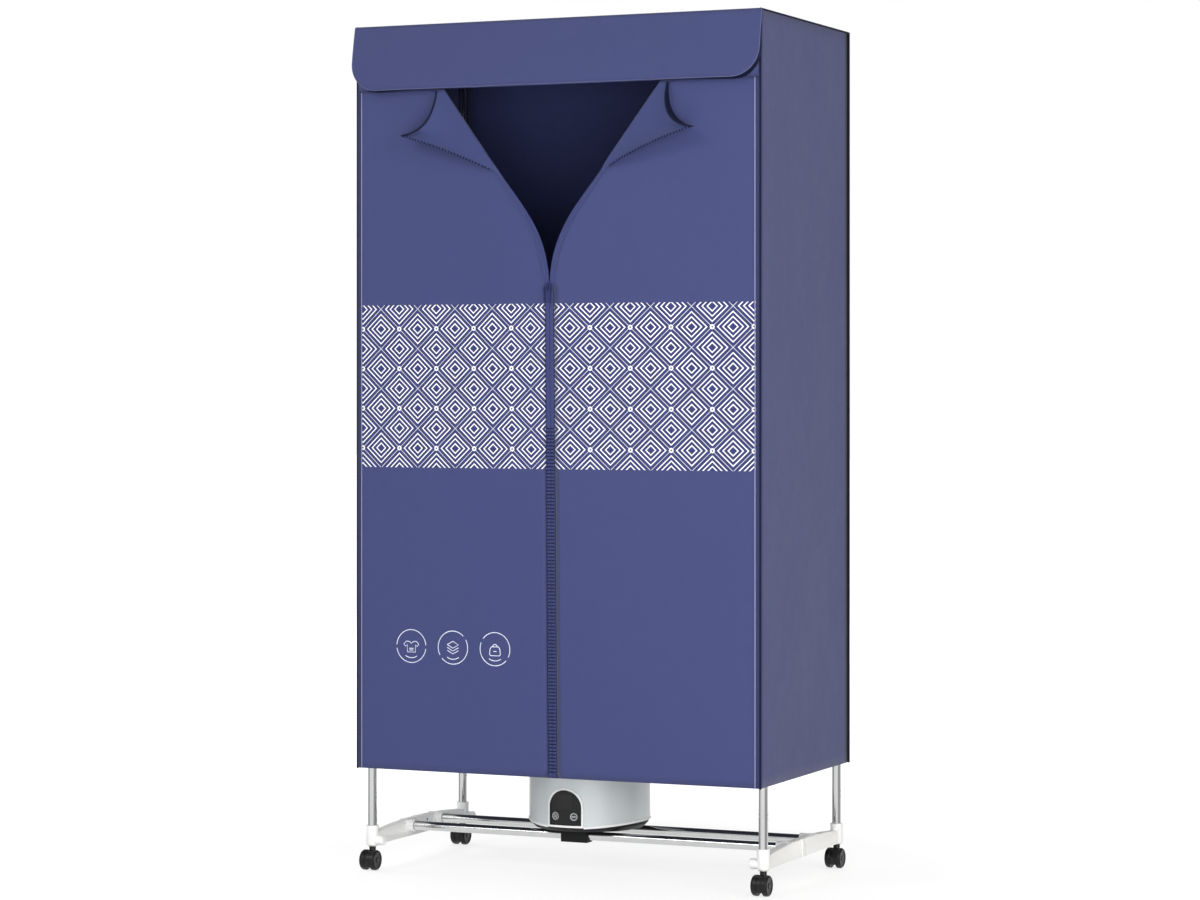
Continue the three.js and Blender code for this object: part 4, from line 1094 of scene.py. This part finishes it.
for side_name, side in SIDES:
    door = f"front_{side_name}_door"
    chain = ["zip_chain_" + side_name]
    place = tape_place(side)
    tape = cloth_sheet("zip_tape_" + side_name, 8, FREE_ROW, place, zip_tape, door, chain, 0.0026)
    teeth = bmesh.new()
    for i in range(int((TOOTH_HIGH - TOOTH_LOW) / TOOTH_PITCH) + 1):
        x, z = side * (TAPE_IN + 0.0033), TOOTH_LOW + i * TOOTH_PITCH
        add_shape(teeth, tooth((x, front_y(x, z) - 0.0010, z), 0.0066))
    trail = [panel_at(side, FREE_ROW + 0.4 + i * 0.05, ALL_COLUMNS) for i in range(247)]
    walked = 0.0
    for before, after in zip(trail, trail[1:]):
        step = after - before
        walked += step.length
        if walked > TOOTH_PITCH:
            walked -= TOOTH_PITCH
            add_shape(teeth, tooth(after, 0.0034, -math.atan2(step.z, step.x) + math.pi / 2))
    piece("zip_teeth_" + side_name, teeth, zip_teeth, door)
    # A dark cord along the corner's upper edge: painted shadow where it stands off the panel.
    upper_edge = [panel_at(side, FREE_ROW + 12.5 + i * 0.5, ALL_COLUMNS) for i in range(27)]
    sewn("corner_binding_" + side_name, swept([upper_edge], 0.0018, 3), seam_tape, door)

slider_enamel = speckled(
    "slider_enamel", (42, 48, 90), (52, 58, 102), (300, 2), (500, 2), (0.45, 0.6), (1800, 2),
    Specular_IOR_Level=0.12,
)
moulded("zip_slider", slider_enamel, 0.0003)
moulded("zip_pull", slider_enamel, 0.00025)

# ---------------------------------------------------------------- heater pod
# A round blower and heater stands on the two base rods: a pearl-grey shell over a black pan, with a
# white trim line between them. The black clip holds it on the front rod.
POD_STEPS = 128
POD_INNER = 0.106
POD_EDGE, POD_TOP = 0.084, 0.238
POD_ARCH = 0.008
POD_SHOULDER = 0.012
SHELL_ROWS, SHOULDER_ROWS = 12, 8
OUTLET = 0.088
BEZEL_HALF = 0.0343
BEZEL_LOW, BEZEL_TOP = 0.0843, 0.1540
BEZEL_RIM = 0.0038
CORD_HOLE, CORD_Z = 0.0073, 0.098


def arch_up(y):
    """How much higher the shell's edge is at y from the pod's axis."""
    return POD_ARCH * (1 - (y / (POD_RADIUS + 0.001)) ** 2)


def arch_block(half, low, top):
    """A block with an arched top, from in front of the pod to its middle."""
    shape = bmesh.new()
    made = bmesh.ops.create_circle(shape, segments=96, radius=half, cap_ends=False)
    gone = [vert for vert in made["verts"] if vert.co.y < -1e-6]
    bmesh.ops.delete(shape, geom=gone, context="VERTS")
    ends = [vert for vert in shape.verts if abs(vert.co.y) < 1e-6]
    feet = [shape.verts.new((vert.co.x, low - (top - half), 0)) for vert in ends]
    for foot, end in zip(feet, ends):
        shape.edges.new((foot, end))
    shape.edges.new(feet)
    bmesh.ops.contextual_create(shape, geom=shape.edges[:])
    grown = bmesh.ops.extrude_face_region(shape, geom=shape.faces[:])
    far = [item for item in grown["geom"] if isinstance(item, bmesh.types.BMVert)]
    bmesh.ops.translate(shape, vec=(0, 0, 0.10), verts=far)
    moved(shape, Matrix.Translation((0, -0.045, top - half)) @ Matrix.Rotation(math.pi / 2, 4, "X"))
    bmesh.ops.recalc_face_normals(shape, faces=shape.faces)
    return shape


def at_pod(shape):
    return moved(shape, Matrix.Translation((POD_X, POD_Y, 0)))


pearl_shell = speckled(
    "pearl_shell", (207, 214, 217), (217, 223, 225), (900, 2), (30, 2), (0.26, 0.36), (1400, 2),
    Metallic=0.15, Coat_Weight=0.3,
)
shoulder = POD_TOP - POD_SHOULDER
ledge = POD_TOP - 0.0037
shell_run = shoulder - POD_EDGE - 0.0004
shell_profile = [(POD_INNER, POD_EDGE), (POD_RADIUS - 0.0004, POD_EDGE)]
for step in range(SHELL_ROWS + 1):
    shell_profile.append((POD_RADIUS, POD_EDGE + 0.0004 + shell_run * step / SHELL_ROWS))
for step in range(1, SHOULDER_ROWS + 1):
    bend = step / SHOULDER_ROWS * math.pi / 2
    inward = POD_SHOULDER * (1 - math.cos(bend))
    shell_profile.append((POD_RADIUS - inward, shoulder + POD_SHOULDER * math.sin(bend)))
shell_profile += [
    (OUTLET + 0.0006, POD_TOP),
    (OUTLET, POD_TOP - 0.0006),
    (OUTLET, ledge),
    (OUTLET - 0.004, ledge),
    (OUTLET - 0.004, ledge - 0.0025),
    (POD_INNER - POD_SHOULDER, ledge - 0.0025),
    (POD_INNER, shoulder - 0.0025),
    (POD_INNER, POD_EDGE),
]
shell = turned(shell_profile, POD_STEPS)
for vert in shell.verts:
    if vert.co.z < POD_EDGE + 0.001:
        vert.co.z += arch_up(vert.co.y)
shell = carve(shell, arch_block(BEZEL_HALF + 0.0003, POD_EDGE - 0.005, BEZEL_TOP + 0.0003))
to_rear = Matrix.Translation((0, 0, CORD_Z)) @ Matrix.Rotation(-math.pi / 2, 4, "X")
shell = carve(shell, moved(peg(CORD_HOLE, 0.05, 0.13, 32), to_rear))
piece("pod_shell_dressed", at_pod(shell), pearl_shell, "cabinet", ["pod_shell"])

white_trim = speckled(
    "white_trim", (243, 244, 245), (250, 250, 250), (60, 2), (200, 2), (0.2, 0.32), (1500, 2),
)
# The trim line's section, as how far out from the shell and how far up from its edge.
TRIM_EDGE = [(-0.0015, -0.0024), (0.0004, -0.0024), (0.0011, -0.0014), (0.0011, 0.0008)]
TRIM_EDGE += [(0.0005, 0.0016), (0.0001, 0.0016), (0.0001, -0.0002), (-0.0015, -0.0002)]
TRIM_EDGE += [(-0.0015, -0.0024)]
trim = turned([(POD_RADIUS + out, POD_EDGE + up) for out, up in TRIM_EDGE], POD_STEPS)
for vert in trim.verts:
    vert.co.z += arch_up(vert.co.y)
trim = carve(trim, arch_block(BEZEL_HALF + 0.0003, POD_EDGE - 0.008, BEZEL_TOP))
piece("pod_trim", at_pod(trim), white_trim, "cabinet")

black_moulding = speckled(
    "black_moulding", (12, 13, 14), (22, 23, 24), (900, 3), (60, 2), (0.35, 0.5), (900, 3),
    0.00004, Specular_IOR_Level=0.2,
)
for pan_node, round_over in (("pod_base", 0.0006), ("rod_clip", 0.0012), ("cable_gland", 0.0006)):
    moulded(pan_node, black_moulding, round_over)

GRILLE_OUT, RING_PITCH, RING_WIDTH = 0.0877, 0.0096, 0.0030
GRILLE_LOW = POD_TOP - 0.0034
RING_EDGE = 0.0006
RINGS_ROUND, SPOKES = 9, 12
grille = bmesh.new()
for i in range(RINGS_ROUND):
    ring_out = GRILLE_OUT - RING_PITCH * i
    ring_in = max(ring_out - RING_WIDTH, 0.0002)
    ring_top = POD_TOP - RING_EDGE
    band = [(ring_in, GRILLE_LOW), (ring_out, GRILLE_LOW), (ring_out, ring_top)]
    band += [(ring_out - RING_EDGE, POD_TOP), (ring_in + RING_EDGE, POD_TOP)]
    band += [(ring_in, ring_top), (ring_in, GRILLE_LOW)]
    add_shape(grille, turned(band, POD_STEPS))
spoke_at = Matrix.Translation((0.0465, 0, GRILLE_LOW + 0.0016))
for i in range(SPOKES):
    turn = Matrix.Rotation(i * math.pi / 6, 4, "Z")
    add_shape(grille, moved(bar(0.0800, 0.0026, 0.0030, 0.0005), turn @ spoke_at))
grille = at_pod(grille)
piece("outlet_grille_dressed", grille, black_moulding, "cabinet", ["outlet_grille"])

# ---------------------------------------------------------------- controls
# An arched black window in a white bezel, let into the front of the shell, with two round touch keys.
# Each key has a light printed ring: one round a fan sign, the other round a bar.
KEY_RADIUS = 0.00775
KEY_SPREAD = 0.0175
KEY_Z = 0.104
KEY_FACE = POD_RADIUS + 0.0011
RING_IN, RING_OUT = 0.0052, 0.0065
INK_DEPTH = 0.0002
DISPLAY_HALF = 0.0135
DISPLAY_LOW, DISPLAY_TOP = 0.118, 0.1425
FIT = 0.0002


def arched(inner, outer, half, low, top):
    """The part of a ring round the pod that lies behind an arched outline."""
    profile = [(inner, 0.07), (outer, 0.07), (outer, 0.17), (inner, 0.17), (inner, 0.07)]
    return carve(turned(profile, 384), arch_block(half, low, top), "INTERSECT")


def on_wall(shape, side):
    """Stands a key's shape on the pod's wall, left or right of its front."""
    swing = Matrix.Rotation(math.asin(KEY_SPREAD / POD_RADIUS) * side, 4, "Z")
    raised = Matrix.Translation((0, 0, KEY_Z))
    return moved(shape, swing @ raised @ Matrix.Rotation(math.pi / 2, 4, "X"))


window_half = BEZEL_HALF - BEZEL_RIM
window_top = BEZEL_TOP - BEZEL_RIM
window_low = BEZEL_LOW + BEZEL_RIM
bezel = arched(POD_INNER, POD_RADIUS + 0.0012, BEZEL_HALF, BEZEL_LOW, BEZEL_TOP)
bezel = carve(bezel, arch_block(window_half + FIT, window_low - FIT, window_top + FIT))
piece("bezel_dressed", at_pod(bezel), white_trim, "cabinet", ["control_bezel"])

pane_finish = Finish(bpy.data.materials.new("black_window"))
pane_x, _, pane_z = pane_finish.axes(pane_finish.place())
from_middle = pane_x - POD_X
display = (abs(from_middle) < DISPLAY_HALF) * (pane_z > DISPLAY_LOW) * (pane_z < DISPLAY_TOP)
over_arch = pane_finish.math("MAXIMUM", pane_z - (window_top - window_half), 0.0)
past_arch = pane_finish.reach(from_middle, over_arch) > window_half - 0.0032
rim_band = pane_finish.math("MAXIMUM", past_arch, pane_z < window_low + 0.0028)
pane_base = pane_finish.mix(display, colour(20, 21, 22), colour(32, 33, 32))
pane_base = pane_finish.mix(rim_band, pane_base, colour(6, 6, 7))
black_window = pane_finish.surface(
    pane_finish.mix(pane_finish.noise(50) * 0.2, pane_base, colour(26, 28, 29)),
    pane_finish.between(pane_finish.noise(25), 0.1, 0.18),
    pane_finish.noise(80),
    0.00001,
    Specular_IOR_Level=0.3,
)
pane = arched(POD_INNER + 0.0003, POD_RADIUS + 0.0004, window_half, window_low, window_top)
for side in (-1, 1):
    pane = carve(pane, on_wall(peg(KEY_RADIUS + FIT, 0.09, 0.12, 40), side))
piece("window_dressed", at_pod(pane), black_window, "cabinet", ["control_window"])

key_print = speckled(
    "key_print", (188, 190, 192), (205, 207, 208), (300, 2), (200, 2), (0.35, 0.5), (1500, 2),
)
key_cap = speckled("key_cap", (40, 42, 43), (52, 54, 55), (200, 2), (150, 2), (0.25, 0.38), (1200, 2))
# The key cap's edge, as how far in from its rim and how far back from its face.
CAP_EDGE = [(0, 0.0048), (0, 0.0008), (0.0002, 0.0003), (0.0007, 0), (0.0012, 0.0001)]
cap_profile = [(0, KEY_FACE - 0.0048)]
cap_profile += [(KEY_RADIUS - inward, KEY_FACE - back) for inward, back in CAP_EDGE]
cap_profile += [(0, KEY_FACE - 0.0001)]
ring_low = KEY_FACE - INK_DEPTH
ring_profile = [(RING_IN, ring_low), (RING_OUT, ring_low), (RING_OUT, KEY_FACE)]
ring_profile += [(RING_IN, KEY_FACE), (RING_IN, ring_low)]
fan_bars = [(0.0022, 0.0030, 0.0012, angle) for angle in (45, 135, 225, 315)]
for key, side, bars in (("key_mode", -1, fan_bars), ("key_power", 1, [(0, 0.0080, 0.0020, 0)])):
    cap = on_wall(turned(cap_profile, 48), side)
    piece(key + "_cap", at_pod(cap), key_cap, key, [key])
    sign = turned(ring_profile, 48)
    for x, width, height, angle in bars:
        made = bmesh.ops.create_cube(sign, size=1.0)["verts"]
        bmesh.ops.scale(sign, vec=(width, height, INK_DEPTH), verts=made)
        turn = Matrix.Rotation(math.radians(angle), 4, "Z")
        at = turn @ Matrix.Translation((x, 0, KEY_FACE - INK_DEPTH / 2))
        bmesh.ops.transform(sign, matrix=at, verts=made)
    piece(key + "_sign", at_pod(on_wall(sign, side)), key_print, key)

# ---------------------------------------------------------------- inside the pod
# The motor, impeller, heater and circuit board are plain pieces, seen only when the pod is open.
board = Finish(bpy.data.materials.new("circuit_board"))
circuit_board = board.surface(
    board.mix(board.noise(150, 4) > 0.55, colour(38, 84, 56), colour(52, 108, 70)),
    board.between(board.noise(90), 0.4, 0.55),
    board.noise(600),
    0.00003,
)
heater_metal = speckled(
    "heater_metal", (178, 179, 182), (200, 201, 203), (80, 2), (120, 2), (0.35, 0.5), (900, 2),
    0.00002, Metallic=1.0,
)
moulded("control_board", circuit_board, 0.0002)
moulded("heater", heater_metal, 0.0003)
moulded("fan_motor", plain_steel, 0.0008)
moulded("fan_impeller", black_moulding, 0.0004)
